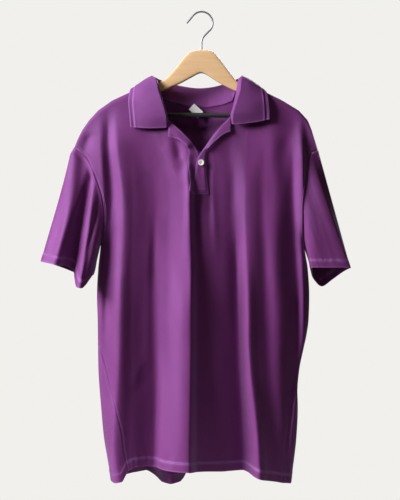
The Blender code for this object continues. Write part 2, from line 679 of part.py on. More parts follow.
def neck_inward(path, i):
    """Way from the neck seam into the opening, strongest where it is steep."""
    run = path[min(i + 1, len(path) - 1)] - path[max(i - 1, 0)]
    steep = abs(run[2]) / math.hypot(run[0], run[2])
    return np.array((-math.copysign(steep, path[i][0] + 8.0), 0.0, 0.0))


def collar_grid(steps):
    """Rows along the neck seam, columns from the seam to the outer edge."""
    path = neck_path()
    lengths = np.concatenate(([0.0], np.cumsum(np.linalg.norm(np.diff(path, axis=0), axis=1))))
    rows = []
    for _, face, x, fold, edge in COLLAR_STATIONS:
        at = neck_point(x, face == "back")
        place = lengths[np.argmin(np.linalg.norm(path - at, axis=1))]
        rows.append((place,) + fold + edge)
    grid = []
    for row in spline(rows, steps):
        seam = np.array([np.interp(row[0], lengths, path[:, c]) for c in range(3)])
        lift = COLLAR_CLOTH + COLLAR_LIFT
        nearest = int(np.argmin(abs(lengths - row[0])))
        seam += neck_inward(path, nearest) * COLLAR_INSET
        fold, edge = row[1:4], row[4:7]
        way = (fold - seam) / np.linalg.norm(fold - seam)
        points = collar_section(seam + way * COLLAR_LIFT, fold, edge)
        stand = points[:3]
        if seam[1] < -SHOULDER_ROLL:
            stand = [clear_of_body(p, lift) for p in stand]
        grid.append(stand + [clear_of_body(p, lift) for p in points[3:]])
    return np.array(grid)


def placket_grid(table, lifts, turned_from):
    """Strip that lies on the front panel, its rows up the placket."""
    grid = []
    for i, row in enumerate(spline(table, 2)):
        station = i / 2
        turned = float(smooth(station - turned_from + 1.0))
        lift = lifts[0] + (lifts[1] - lifts[0]) * turned
        points = []
        for k in range(PLACKET_STEPS + 1):
            share = k / PLACKET_STEPS
            x = row[0] + (row[2] - row[0]) * share
            z = row[1] + (row[3] - row[1]) * share
            points.append((x, -body_depth(x, z, False) - lift, z))
        grid.append(points)
    return np.array(grid)


# --------------------------------------------------------------- wall builders
def grid_normals(grid, closed):
    """Normal of each grid point before its seams are matched."""
    across = np.zeros_like(grid)
    if closed:
        across = np.roll(grid, -1, axis=1) - np.roll(grid, 1, axis=1)
    else:
        across[:, 1:-1] = grid[:, 2:] - grid[:, :-2]
        across[:, 0] = grid[:, 1] - grid[:, 0]
        across[:, -1] = grid[:, -1] - grid[:, -2]
    down = np.zeros_like(grid)
    down[1:-1] = grid[2:] - grid[:-2]
    down[0] = grid[1] - grid[0]
    down[-1] = grid[-1] - grid[-2]
    normals = np.cross(down, across)
    lengths = np.linalg.norm(normals, axis=2, keepdims=True)
    return normals / np.maximum(lengths, 1e-9)


def match_seams(grids, normals):
    """Give points that panels share one normal between them, but for the
    underarm, where the sleeve's cloth faces the body's."""
    sums = {}
    for name, grid in grids.items():
        for point, normal in zip(grid.reshape(-1, 3), normals[name].reshape(-1, 3)):
            key = tuple(np.round(point, 3))
            sums[key] = sums.get(key, np.zeros(3)) + normal
    for name, grid in grids.items():
        flat = normals[name].reshape(-1, 3)
        for i, point in enumerate(grid.reshape(-1, 3)):
            total = sums[tuple(np.round(point, 3))]
            length = np.linalg.norm(total)
            if float(total @ flat[i]) > 0.8 * length:
                flat[i] = total / length


def pull_back(grid, gap, edges):
    """Shorten a grid by the gap at the named edges."""
    made = grid.copy()
    for edge in edges:
        if edge == "first row":
            own, near = made[0], grid[1]
        elif edge == "last row":
            own, near = made[-1], grid[-2]
        elif edge == "first column":
            own, near = made[:, 0], grid[:, 1]
        else:
            own, near = made[:, -1], grid[:, -2]
        way = near - own
        length = np.linalg.norm(way, axis=1, keepdims=True)
        own += way / np.maximum(length, 1e-9) * np.minimum(gap, length * 0.45)
    return made


def wall_mesh(name, outer, inner, closed, material):
    """Closed wall between two grids of points."""
    rows, columns = outer.shape[:2]
    mesh = bpy.data.meshes.new(name)
    obj = bpy.data.objects.new(name, mesh)
    bpy.context.scene.collection.objects.link(obj)
    bm = bmesh.new()
    layers = []
    for grid in (outer, inner):
        layers.append([[bm.verts.new(p * MM) for p in row] for row in grid])
    spans = columns if closed else columns - 1
    for layer in layers:
        for i in range(rows - 1):
            for j in range(spans):
                k = (j + 1) % columns
                bm.faces.new((layer[i][j], layer[i + 1][j], layer[i + 1][k], layer[i][k]))
    border = [((i, j), (i, (j + 1) % columns)) for i in (0, rows - 1) for j in range(spans)]
    if not closed:
        border += [((i, j), (i + 1, j)) for j in (0, columns - 1) for i in range(rows - 1)]
    for (i, j), (k, m) in border:
        bm.faces.new((layers[0][i][j], layers[0][k][m], layers[1][k][m], layers[1][i][j]))
    bmesh.ops.recalc_face_normals(bm, faces=bm.faces)
    bmesh.ops.triangulate(bm, faces=bm.faces, quad_method="SHORT_EDGE")
    bm.to_mesh(mesh)
    bm.free()
    finish(obj, material)
    return obj


def finish(obj, material):
    """Shade smooth but for sharp edges, and give the material."""
    obj.data.shade_smooth()
    obj.data.set_sharp_from_angle(angle=math.radians(50))
    obj.data.materials.append(material)


def make_material(name):
    """Plain surface with the colour, roughness and metallic of its kind."""
    red, green, blue, rough, metal = COLOURS[name]
    material = bpy.data.materials.new(name)
    material.use_nodes = True
    shader = material.node_tree.nodes["Principled BSDF"]
    shader.inputs["Base Color"].default_value = (red, green, blue, 1.0)
    shader.inputs["Roughness"].default_value = rough
    shader.inputs["Metallic"].default_value = metal
    return material


def lofted(name, rings, material):
    """Closed solid through rings of points, capped at both ends."""
    mesh = bpy.data.meshes.new(name)
    obj = bpy.data.objects.new(name, mesh)
    bpy.context.scene.collection.objects.link(obj)
    bm = bmesh.new()
    loops = [[bm.verts.new(np.array(p) * MM) for p in ring] for ring in rings]
    for low, high in zip(loops[:-1], loops[1:]):
        for j in range(len(low)):
            k = (j + 1) % len(low)
            bm.faces.new((low[j], low[k], high[k], high[j]))
    bm.faces.new(loops[0])
    bm.faces.new(loops[-1])
    bmesh.ops.recalc_face_normals(bm, faces=bm.faces)
    bm.to_mesh(mesh)
    bm.free()
    finish(obj, material)
    return obj


# ---------------------------------------------------------------- the pieces
def make_shirt_body(cloth):
    """Front, back and both sleeves, one wall each, parted at the seams."""
    front = front_grid()
    back = back_grid()
    under = ROW_SHARES.index(UNDERARM_ROW)
    grids = {"front": front, "back": back}
    grids["sleeve_right"] = sleeve_grid(
        "sleeve_right", front[:under + 1, 0], back[:under + 1, -1],
        SLEEVE_RIGHT_FRONT_HEM, SLEEVE_RIGHT_BACK_HEM)
    grids["sleeve_left"] = sleeve_grid(
        "sleeve_left", front[:under + 1, -1], back[:under + 1, 0],
        SLEEVE_LEFT_FRONT_HEM, SLEEVE_LEFT_BACK_HEM)
    normals = {}
    for name, grid in grids.items():
        closed = name.startswith("sleeve")
        normals[name] = grid_normals(grid, closed)
        turned = name == "sleeve_left"
        normals[name] *= -1.0 if turned else 1.0
    match_seams(grids, normals)
    for name, grid in grids.items():
        closed = name.startswith("sleeve")
        edges = ["first row"]
        edges += [] if closed else ["first column", "last column"]
        outer = pull_back(grid, SEAM_GAP, edges)
        inner = pull_back(grid - normals[name] * CLOTH, SEAM_GAP, edges)
        wall_mesh(name, outer, inner, closed, cloth)


def make_collar(cloth):
    """One-piece collar: stand, fold and leaf."""
    grid = collar_grid(2)
    normals = grid_normals(grid, False)
    wall_mesh("collar", grid, grid - normals * COLLAR_CLOTH, False, cloth)


def make_plackets(cloth):
    """Both placket strips with their upper edges turned out."""
    for name, table, lifts, turned_from in (
            ("placket_over", PLACKET_OVER, OVER_LIFT, 6.0),
            ("placket_under", PLACKET_UNDER, UNDER_LIFT, 6.0)):
        grid = placket_grid(table, lifts, turned_from)
        inner = grid.copy()
        inner[:, :, 1] += PLACKET_CLOTH
        wall_mesh(name, grid, inner, False, cloth)


def make_button(name, place, lift, material):
    """Round button with a raised rim, lying on the cloth."""
    x, z = place
    y = -body_depth(x, z, False) - lift
    slope = (body_depth(x + 3, z, False) - body_depth(x - 3, z, False)) / 6.0
    tilt = (body_depth(x, z + 3, False) - body_depth(x, z - 3, False)) / 6.0
    out = np.array((-slope, -1.0, -tilt))
    out /= np.linalg.norm(out)
    side = np.cross(out, (0.0, 0.0, 1.0))
    side /= np.linalg.norm(side)
    up = np.cross(side, out)
    centre = np.array((x, y, z))
    profile = (
        (0.82, 0.0), (1.0, 0.25), (1.0, 0.75), (0.9, 1.0), (0.72, 0.95), (0.6, 0.7),
    )
    rings = []
    for radius, height in profile:
        ring = []
        for k in range(20):
            angle = 2.0 * math.pi * k / 20
            ring.append(centre + out * height * BUTTON_DEPTH
                        + (side * math.cos(angle) + up * math.sin(angle))
                        * radius * BUTTON_RADIUS)
        rings.append(ring)
    lofted(name, rings, material)


def make_label(material):
    """Blank neck label, hanging askew inside the back."""
    width, height = LABEL_SIZE
    turn = math.radians(LABEL_TURN)
    across = np.array((math.cos(turn), 0.0, math.sin(turn)))
    up = np.array((-math.sin(turn), 0.0, math.cos(turn)))
    grid = []
    for i in range(4):
        row = []
        for j in range(4):
            bend = 1.2 * math.sin(math.pi * i / 3)
            point = np.array(LABEL_CENTRE) + across * width * (j / 3 - 0.5)
            row.append(point + up * height * (0.5 - i / 3) + np.array((0.0, -bend, 0.0)))
        grid.append(row)
    grid = np.array(grid)
    wall_mesh("neck_label", grid, grid + np.array((0.0, 0.8, 0.0)), False, material)


def make_wood(material):
    """Wooden body lofted through rounded sections from tip to tip."""
    rings = []
    for x, top, bottom in WOOD_STATIONS:
        round_off = min(3.5, (top - bottom) / 2.2)
        half = WOOD_HALF if abs(x) < 211.0 and x < 200.0 else WOOD_HALF - 2.5
        ring = []
        for sign_y, sign_z in ((1, 1), (-1, 1), (-1, -1), (1, -1)):
            corner = top if sign_z > 0 else bottom
            for k in range(3):
                angle = math.radians(45.0 * (k if sign_y == sign_z else 2 - k))
                y = sign_y * (half - round_off * (1.0 - math.cos(angle)))
                z = corner - sign_z * round_off * (1.0 - math.sin(angle))
                ring.append((x, y, z))
        rings.append(ring)
    lofted("hanger_body", rings, material)


def tube_rings(path, radius, sides):
    """Rings around a path that lies in the hanger's plane."""
    path = np.array(path, float)
    ways = np.gradient(path, axis=0)
    rings = []
    for point, way in zip(path, ways):
        way = way / np.linalg.norm(way)
        out = np.array((way[1], -way[0]))
        ring = []
        for k in range(sides):
            angle = 2.0 * math.pi * k / sides
            place = point + out * radius * math.cos(angle)
            ring.append((place[0], radius * math.sin(angle), place[1]))
        rings.append(ring)
    return rings


def make_hook(material):
    """Steel wire hook, open to the wearer's right."""
    reach = HOOK_RADIUS
    centre_z = WIRE_RADIUS - reach
    path = []
    end = math.radians(HOOK_END_ANGLE)
    tip = np.array((reach * math.cos(end), centre_z + reach * math.sin(end)))
    way = np.array((-math.sin(end), math.cos(end)))
    for k in range(4, 0, -1):
        path.append(tip + way * HOOK_TIP_LENGTH * k / 4)
    for k in range(21):
        angle = math.radians(HOOK_END_ANGLE + (HOOK_START_ANGLE - HOOK_END_ANGLE) * k / 20)
        path.append((reach * math.cos(angle), centre_z + reach * math.sin(angle)))
    stem = spline([path[-1]] + list(HOOK_STEM), 2)
    path.extend(stem[1:])
    lofted("hanger_hook", tube_rings(path, WIRE_RADIUS, 8), material)


def make_bar(material):
    """Straight trouser bar between the arms' ends."""
    start, end = np.array(BAR_ENDS[0]), np.array(BAR_ENDS[1])
    path = [start + (end - start) * k / 4 for k in range(5)]
    lofted("trouser_bar", tube_rings(path, BAR_RADIUS, 14), material)


def main():
    for obj in list(bpy.data.objects):
        bpy.data.objects.remove(obj, do_unlink=True)
    made = {name: make_material(name) for name in COLOURS}
    make_shirt_body(made["cloth"])
    make_collar(made["cloth"])
    make_plackets(made["cloth"])
    make_button("button_lower", BUTTON_LOWER, OVER_LIFT[0] + 0.7, made["button"])
    make_button("button_upper", BUTTON_UPPER, 0.7, made["button"])
    make_label(made["label"])
    make_wood(made["wood"])
    make_hook(made["steel"])
    make_bar(made["bar"])


main()
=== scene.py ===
import math

import bmesh
import bpy
import mathutils
import numpy as np
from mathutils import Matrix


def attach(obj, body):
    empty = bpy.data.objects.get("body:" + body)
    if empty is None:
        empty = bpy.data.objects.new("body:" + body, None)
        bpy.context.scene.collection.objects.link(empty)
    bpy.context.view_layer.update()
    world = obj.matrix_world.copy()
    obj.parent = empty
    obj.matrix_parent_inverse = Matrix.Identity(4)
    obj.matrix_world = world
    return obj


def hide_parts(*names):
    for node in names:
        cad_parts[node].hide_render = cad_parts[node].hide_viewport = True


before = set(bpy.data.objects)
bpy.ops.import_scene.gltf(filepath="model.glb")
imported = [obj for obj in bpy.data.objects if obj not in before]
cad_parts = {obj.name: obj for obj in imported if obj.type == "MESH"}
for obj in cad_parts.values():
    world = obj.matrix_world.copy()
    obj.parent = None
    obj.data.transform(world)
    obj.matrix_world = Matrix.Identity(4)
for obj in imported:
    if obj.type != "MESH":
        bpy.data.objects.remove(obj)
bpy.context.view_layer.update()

# Polo shirt on a wooden hanger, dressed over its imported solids. The tables are
# in millimetres, X to the right as seen from the front, Z up, and the front
# faces -Y. Left and right in the names of the shirt's pieces are the wearer's.
MM = 0.001
# ---------------------------------------------------------------- main sizes
SEAM_GAP = 0.25      # each panel stops this far short of its seam
SHOULDER_ROLL = 9.5  # radius of the cloth's roll over the hanger's arm
COLLAR_ROLL = 3.2    # radius of the collar's fold
NECK_LEFT_X = -96.0  # the side neck points, where collar and shoulder meet
NECK_RIGHT_X = 80.0
NECK_MIDDLE_X = -8.0  # halfway between them
UNDERARM_ROW = 0.30  # share of the side's length taken by the armhole
LEVEL_ROW = 0.28     # share by which the rows have levelled out
EVEN_ROW = 0.12      # share by which the columns are evenly spread
BUTTON_RADIUS = 6.3
BUTTON_DEPTH = 2.4
WIRE_RADIUS = 1.9
BAR_RADIUS = 4.7

# ------------------------------------------------------------- outline tables
# Shoulder line from sleeve to neck, x and z.
SHOULDER_LEFT = (
    (-269.5, -284.0), (-264.0, -270.0), (-253.6, -249.0), (-238.7, -227.7),
    (-219.6, -207.0), (-190.0, -186.0), (-143.0, -164.0), (-96.0, -146.0),
)
SHOULDER_RIGHT = (
    (80.0, -141.0), (128.0, -164.0), (170.4, -185.0), (206.5, -207.0),
    (225.6, -228.0), (234.0, -249.0), (240.4, -270.0), (246.8, -291.0),
)
# Neckline of the front, a deep V while the placket is open, x and z.
NECK_FRONT = (
    (-96.0, -146.0), (-88.0, -175.0), (-80.0, -203.0), (-73.4, -223.5),
    (-43.7, -251.0), (-20.4, -273.5), (-3.4, -298.5), (-1.0, -300.0),
    (6.6, -288.0), (18.7, -269.0), (32.0, -251.0), (48.3, -236.0),
    (64.0, -216.0), (70.0, -198.0), (76.0, -170.0), (80.0, -141.0),
)
# Neckline of the back, x and z.
NECK_BACK = (
    (-96.0, -146.0), (-92.0, -164.0), (-86.0, -179.0), (-60.0, -189.0),
    (-27.0, -195.0), (13.6, -199.0), (45.0, -194.0), (68.0, -186.0),
    (76.0, -166.0), (80.0, -141.0),
)
# Outermost x of the body's section at each height: z, left, right.
# Above the underarm it lies inside the sleeve and only shapes the roundness.
BODY_SIDES = (
    (-1010, -190.0, 188.0), (-990, -192.0, 190.0), (-945, -199.5, 196.0),
    (-900, -207.0, 201.0), (-836, -213.0, 204.0), (-800, -216.0, 203.0),
    (-758, -218.6, 206.5), (-715, -219.5, 215.0), (-683, -219.6, 222.0),
    (-650, -220.0, 226.5), (-600, -221.5, 228.0), (-545, -219.0, 225.0),
    (-502, -214.5, 218.5), (-488, -213.5, 217.5), (-440, -236.0, 240.0),
    (-400, -256.0, 260.0), (-284, -320.0, 320.0), (-140, -340.0, 340.0),
)
# Half depth of the section at each height, before folds: z, front, back.
BODY_DEPTH = (
    (-1010, 46.0, 43.0), (-970, 46.0, 42.0), (-830, 44.0, 39.0),
    (-673, 41.0, 35.0), (-545, 36.0, 30.0), (-400, 29.0, 24.0),
    (-300, 23.0, 19.0), (-250, 19.0, 16.0), (-200, 14.0, 13.0),
    (-140, 11.0, 11.0),
)
# Armhole seams as seen from the front, z and x; they end at the underarm.
ARMHOLE_LEFT = (
    (-469, -209.5), (-425, -206.0), (-395, -209.0),
    (-363, -218.0), (-334, -230.0), (-309, -242.0), (-296, -255.0),
    (-284, -269.5),
)
ARMHOLE_RIGHT = (
    (-467, 215.5), (-420, 214.5), (-397, 215.6),
    (-376, 217.0), (-344, 220.3), (-312, 225.5), (-298, 234.0),
    (-291, 246.8),
)
# Side seams below the underarm, z and x on the front of the section. Where
# x is past the outline, the seam is on the outline itself.
SIDE_SEAM_LEFT = (
    (-1000, -151.0), (-966, -154.0), (-917, -163.4), (-880, -167.3),
    (-845, -177.0), (-798, -190.0), (-745, -203.7), (-690, -221.0),
    (-640, -240.0), (-500, -260.0),
)
SIDE_SEAM_RIGHT = (
    (-1000, 170.9), (-953, 170.4), (-921, 174.0), (-883, 181.0),
    (-836, 188.0), (-790, 202.0), (-740, 222.0), (-640, 240.0),
    (-500, 260.0),
)
# Front hem, x and z.
FRONT_HEM = (
    (-160.0, -966.0), (-153.0, -966.0), (-140.0, -959.0), (-115.0, -958.0),
    (-94.0, -960.0), (-78.0, -963.0), (-30.0, -963.0), (-8.0, -966.0),
    (30.0, -968.0), (88.0, -968.0), (98.0, -970.0), (110.0, -976.0),
    (130.0, -983.0), (150.0, -988.0), (171.0, -993.0),
)
# Back hem, share of the way from the wearer's left seam to the right, z.
BACK_HEM = (
    (0.0, -993.0), (0.06, -996.0), (0.2, -986.0), (0.35, -977.0),
    (0.5, -978.0), (0.526, -979.0), (0.536, -990.0), (0.549, -997.5),
    (0.581, -1000.4), (0.613, -997.5), (0.638, -987.0), (0.668, -977.5),
    (0.72, -978.0), (0.77, -986.0), (0.86, -989.0), (0.93, -992.0),
    (0.97, -988.0), (1.0, -966.0),
)

# ---------------------------------------------------------------- fold tables
FOLD_RELIEF = 1.2     # height of every fold against the tables below
FOLD_LEVELS = {"yoke": -250.0, "chest": -400.0, "waist": -673.0, "hem": -970.0}
# One row for each ridge or trough of the front. Each pair is the line's x and
# how far it stands forward, at the yoke, chest, waist and hem.
FRONT_FOLDS = (
    ("tip ridge, wearer's right", (-217, 2), (-207, 3), (-214, 6), (-196, 7)),
    ("dip beside it", (-200, -3), (-190, -3), (-197, 3), (-190, 12)),
    ("outer ridge", (-179, 3), (-166, 8), (-172, 14), (-185, 17)),
    ("long slope", (-150, 1), (-142, 2), (-147, 2), (-148, 1)),
    ("first trough", (-110, -2), (-95, -7), (-94, -13), (-100, -20)),
    ("rise", (-84, -1), (-72, -5), (-80, -8), (-84, -2)),
    ("great ridge", (-33, 1), (-26, 6), (-24, 20), (-27, 30)),
    ("drop", (-16, 0), (-9, -1), (-8, 3), (-8, 5)),
    ("foot of the drop", (5, -1), (10, -2), (12, -4), (14, -6)),
    ("middle slope", (35, -2), (42, -5), (45, -11), (52, -16)),
    ("middle trough", (58, -3), (68, -7), (77, -18), (87, -27)),
    ("second ridge", (84, -3), (94, -2), (98, 11), (120, 21)),
    ("its tail", (102, -3), (112, -2), (118, 3), (141, 8)),
    ("shallow trough", (126, -2), (130, -4), (134, -2), (156, 2)),
    ("low ridge", (152, 0), (155, 0), (160, 3), (168, 1)),
    ("outer trough", (190, -3), (191, -9), (204, -9), (180, -2)),
    ("tip ridge, wearer's left", (211, 5), (213, 6), (215, 2), (186, 1)),
    ("slot by the sleeve", (225, -3), (222, -2), (220, 0), (188, 0)),
)
# The same for the back, where the numbers say how far it stands backward.
BACK_FOLDS = (
    ("tip ridge, wearer's right", (-212, 4), (-204, 4), (-198, 6), (-176, 8)),
    ("outer trough", (-165, -2), (-160, -4), (-158, -8), (-150, -11)),
    ("outer ridge", (-120, 1), (-112, 5), (-108, 10), (-112, 13)),
    ("deep trough", (-80, -1), (-68, -5), (-62, -12), (-66, -30)),
    ("middle ridge", (-10, 1), (-8, 5), (-10, 9), (-16, 11)),
    ("middle trough", (50, -1), (46, -5), (44, -9), (40, -12)),
    ("second ridge", (110, 1), (104, 5), (98, 10), (92, 13)),
    ("second trough", (160, -2), (156, -4), (150, -9), (142, -11)),
    ("tip ridge, wearer's left", (205, 4), (200, 4), (200, 6), (176, 7)),
)
# Guide lines that the front's columns follow: x on the top edge, just below
# it, and at the chest, waist and hem; None keeps to the armhole and side seam.
FRONT_GUIDES = (
    ("side, wearer's right", None),
    ("hanger tip", (-219.6, -204.0, -168.0, -152.0, -135.0)),
    ("neck point, trough", (-96.0, -112.0, -110.0, -110.0, -101.0)),
    ("V, half way, ridge", (-46.0, -64.0, -42.0, -29.0, -29.0)),
    ("V point", (-1.0, -1.0, 1.0, 2.0, 4.0)),
    ("V, half way up, trough", (38.0, 56.0, 62.0, 76.0, 88.0)),
    ("neck point, far, ridge", (80.0, 96.0, 92.0, 97.0, 120.0)),
    ("hanger tip, far", (206.5, 197.0, 168.0, 152.0, 146.0)),
    ("side, wearer's left", None),
)
FRONT_SEGMENTS = (6, 6, 7, 5, 6, 7, 5, 6)
NECK_CROWDING = 1.8
GUIDE_ROWS = (0.0, 0.06, 0.2, 0.55, 1.0)
# Share of the side's length at each row; close where the cloth rolls over.
ROW_SHARES = (
    0.0, 0.004, 0.01, 0.019, 0.034, 0.056, 0.086, 0.126, 0.176, 0.23, 0.27,
    UNDERARM_ROW, 0.36, 0.43, 0.51, 0.58, 0.66, 0.74, 0.82, 0.89, 0.95, 1.0,
)
# Guide lines of the back: x on the top edge and just below it, and from the
# chest down the share of the way from the wearer's left seam to the right.
BACK_GUIDES = (
    ("side, wearer's left", None, None, 0.0),
    ("hanger tip", 206.5, 194.0, 0.13),
    ("neck point", 80.0, 94.0, 0.35),
    ("middle", -8.0, -8.0, 0.5),
    ("neck point, far", -96.0, -110.0, 0.65),
    ("hanger tip, far", -219.6, -206.0, 0.87),
    ("side, wearer's right", None, None, 1.0),
)
BACK_SEGMENTS = (6, 5, 7, 7, 6, 6)

# -------------------------------------------------------------- sleeve tables
# Hem of each sleeve from its outer corner (0) to the underarm (1):
# share, x, y, z of the front half, then of the back half.
SLEEVE_RIGHT_FRONT_HEM = (
    (0.00, -341.0, 0.0, -526.6), (0.02, -339.5, -10.0, -527.5),
    (0.10, -328.0, -26.0, -530.0), (0.22, -309.0, -36.0, -533.5),
    (0.40, -283.0, -22.5, -538.0), (0.48, -272.0, -22.0, -546.0),
    (0.56, -266.0, -32.0, -565.0), (0.66, -258.0, -47.0, -582.0),
    (0.74, -250.0, -50.0, -583.0), (0.84, -239.5, -43.0, -572.0),
    (0.93, -231.0, -27.0, -558.0), (1.00, -226.5, -5.0, -550.0),
)
SLEEVE_RIGHT_BACK_HEM = (
    (0.00, -341.0, 0.0, -526.6), (0.02, -339.5, 7.0, -527.5),
    (0.12, -322.0, 19.0, -532.5), (0.35, -290.0, 27.0, -544.0),
    (0.55, -268.0, 28.0, -553.0), (0.75, -248.0, 25.0, -560.0),
    (0.92, -232.0, 14.0, -557.0), (1.00, -226.5, -5.0, -550.0),
)
SLEEVE_LEFT_FRONT_HEM = (
    (0.00, 315.5, 0.0, -541.5), (0.02, 315.0, -12.0, -541.5),
    (0.07, 312.0, -26.0, -541.0), (0.30, 286.0, -28.0, -540.0),
    (0.55, 261.0, -26.0, -540.0), (0.75, 243.0, -23.0, -540.0),
    (0.90, 231.0, -16.0, -540.5), (1.00, 233.5, -2.0, -548.0),
)
SLEEVE_LEFT_BACK_HEM = (
    (0.00, 315.5, 0.0, -541.5), (0.02, 314.0, 7.0, -542.5),
    (0.12, 303.0, 17.0, -549.0), (0.35, 280.0, 24.0, -566.0),
    (0.60, 257.0, 25.0, -581.0), (0.80, 243.0, 20.0, -570.0),
    (0.94, 235.0, 10.0, -556.0), (1.00, 233.5, -2.0, -548.0),
)
SLEEVE_ROUNDNESS = 7.0
# Long folds down each sleeve's front: share of the armhole where the fold
# starts, share where it ends at the hem, half width as a share, and height.
SLEEVE_FOLDS = {
    "sleeve_right": ((0.00, 0.26, 0.08, 6.0), (0.22, 0.47, 0.07, -6.5),
                     (0.33, 0.70, 0.075, 8.0)),
    "sleeve_left": ((0.84, 0.93, 0.09, -2.0),),
}

# -------------------------------------------------------------- collar stations
# Each row: where the seam lies (front or back neckline, by z or by x), then
# the fold's and the outer edge's x, y, z.
COLLAR_STATIONS = (
    ("end, wearer's right", "front", -73.6, (-76, -27, -246), (-150, -23, -244)),
    ("front", "front", -76.5, (-76.5, -34, -222), (-152.5, -22, -214)),
    ("roll", "front", -82.0, (-84, -33, -195), (-154.5, -20, -190)),
    ("before the shoulder", "front", -89.0, (-94, -25, -167), (-153, -12, -173)),
    ("over the arm", "front", -94.4, (-98, -18, -149), (-152, -7, -166)),
    ("shoulder", "front", -96.0, (-103, -9, -139), (-149, -1, -161)),
    ("peak", "back", -94.4, (-107, 2, -134), (-144, 9, -163)),
    ("behind the peak", "back", -87.0, (-95, 20, -138), (-133, 30, -190)),
    ("back, side", "back", -64.0, (-72, 31, -146), (-106, 36, -212)),
    ("back, quarter", "back", -34.0, (-37, 38, -153), (-56, 40, -226)),
    ("back, middle", "back", -6.0, (-5, 41, -156), (-5, 42, -230)),
    ("back, quarter, far", "back", 26.0, (28, 38, -153), (46, 40, -226)),
    ("back, side, far", "back", 52.0, (57, 31, -146), (92, 36, -212)),
    ("behind the peak, far", "back", 72.5, (79, 19, -138), (115, 30, -190)),
    ("peak, far", "back", 78.6, (87.5, 4, -134), (127, 11, -162)),
    ("shoulder, far", "front", 80.0, (87.5, -9, -137), (131, -1, -162)),
    ("over the arm, far", "front", 79.0, (86, -18, -149), (136, -7, -167)),
    ("before the shoulder, far", "front", 76.5, (84, -25, -168), (139, -12, -174)),
    ("roll, far", "front", 71.0, (76, -33, -191), (141, -20, -190)),
    ("front, far", "front", 67.0, (67.5, -34, -216), (142.5, -22, -208)),
    ("end, wearer's left", "front", 64.4, (67, -27, -239), (143, -23, -228)),
)
COLLAR_CLOTH = 1.6
COLLAR_LIFT = 0.8
COLLAR_INSET = 3.6    # how far inside the neckline the stand starts

# ------------------------------------------------------------- placket stations
# Each row: left edge x, z, then right edge x, z, from the bottom up.
PLACKET_OVER = (
    (-20.4, -385.8, 15.7, -385.8), (-18.7, -367.6, 13.6, -367.6),
    (-14.0, -344.3, 11.0, -344.3), (-11.4, -323.0, 10.0, -321.0),
    (-8.5, -311.0, 10.3, -307.0), (-3.4, -301.0, 11.5, -297.0),
    (4.5, -290.0, 15.5, -288.0), (12.0, -279.5, 20.5, -281.0),
    (23.0, -263.5, 31.5, -271.0), (40.0, -243.0, 47.0, -259.0),
    (60.5, -222.0, 60.5, -253.5),
)
PLACKET_UNDER = (
    (-25.0, -380.0, 4.0, -380.0), (-23.5, -362.0, 3.0, -362.0),
    (-26.0, -335.0, 1.0, -338.0), (-30.0, -316.0, -1.0, -320.0),
    (-28.5, -303.0, -6.0, -305.0), (-28.0, -293.0, -12.0, -290.0),
    (-32.0, -283.5, -22.0, -275.0), (-46.9, -272.5, -38.5, -258.0),
    (-59.0, -268.0, -55.0, -243.0), (-70.0, -264.5, -70.0, -229.5),
)
PLACKET_CLOTH = 1.2
# How far each placket's outer face stands off the front panel: along the
# fastened part, and where its edge is turned out.
OVER_LIFT = (3.6, 4.4)
UNDER_LIFT = (1.8, 5.4)
BUTTON_LOWER = (-1.0, -319.5)
BUTTON_UPPER = (-59.0, -254.5)

# -------------------------------------------------------------- hanger tables
# Ends of the bar, x and z; the hook's arc in degrees, its tip and its stem.
BAR_ENDS = ((-186.4, -213.5), (179.4, -221.0))
HOOK_RADIUS = 23.6
HOOK_START_ANGLE = -50.0
HOOK_END_ANGLE = 140.0
HOOK_TIP_LENGTH = 21.0
HOOK_STEM = ((9.5, -45.5), (3.4, -52.5), (0.4, -60.0), (0.0, -68.0), (0.0, -78.8))
LABEL_CENTRE = (-12.0, 15.0, -206.5)
LABEL_SIZE = (26.0, 17.0)
LABEL_TURN = -42.7    # degrees


# ------------------------------------------------------ finer form of the cloth
COLUMN_DETAIL = 4      # fine columns for each column of the solids
ROW_STEP = 3.6         # spacing of the fine rows
PANEL_DROP = 700.0     # rough length of a side, from the tip to the hem
HEM_BAND = 22.0        # depth of the body's turned-up hem
SLEEVE_BAND = 20.0
WALL = 1.1             # the shown cloth's wall
HEM_WALL = 1.9         # where it is turned up double
NEEDLE_GAP = 3.0       # between the two rows of stitches of a hem
NEEDLE_INSET = 2.0     # from the hem's upper edge to its first row of stitches
NEEDLE_DIP = 0.9       # half width of the dip that a row of stitches makes
# Maps of the folds and creases: their points, x and z.
GRID_STEP = 1.5
GRID_X = np.arange(-346.5, 348.0, GRID_STEP)
GRID_Z = np.arange(-1014.0, -136.0, GRID_STEP)

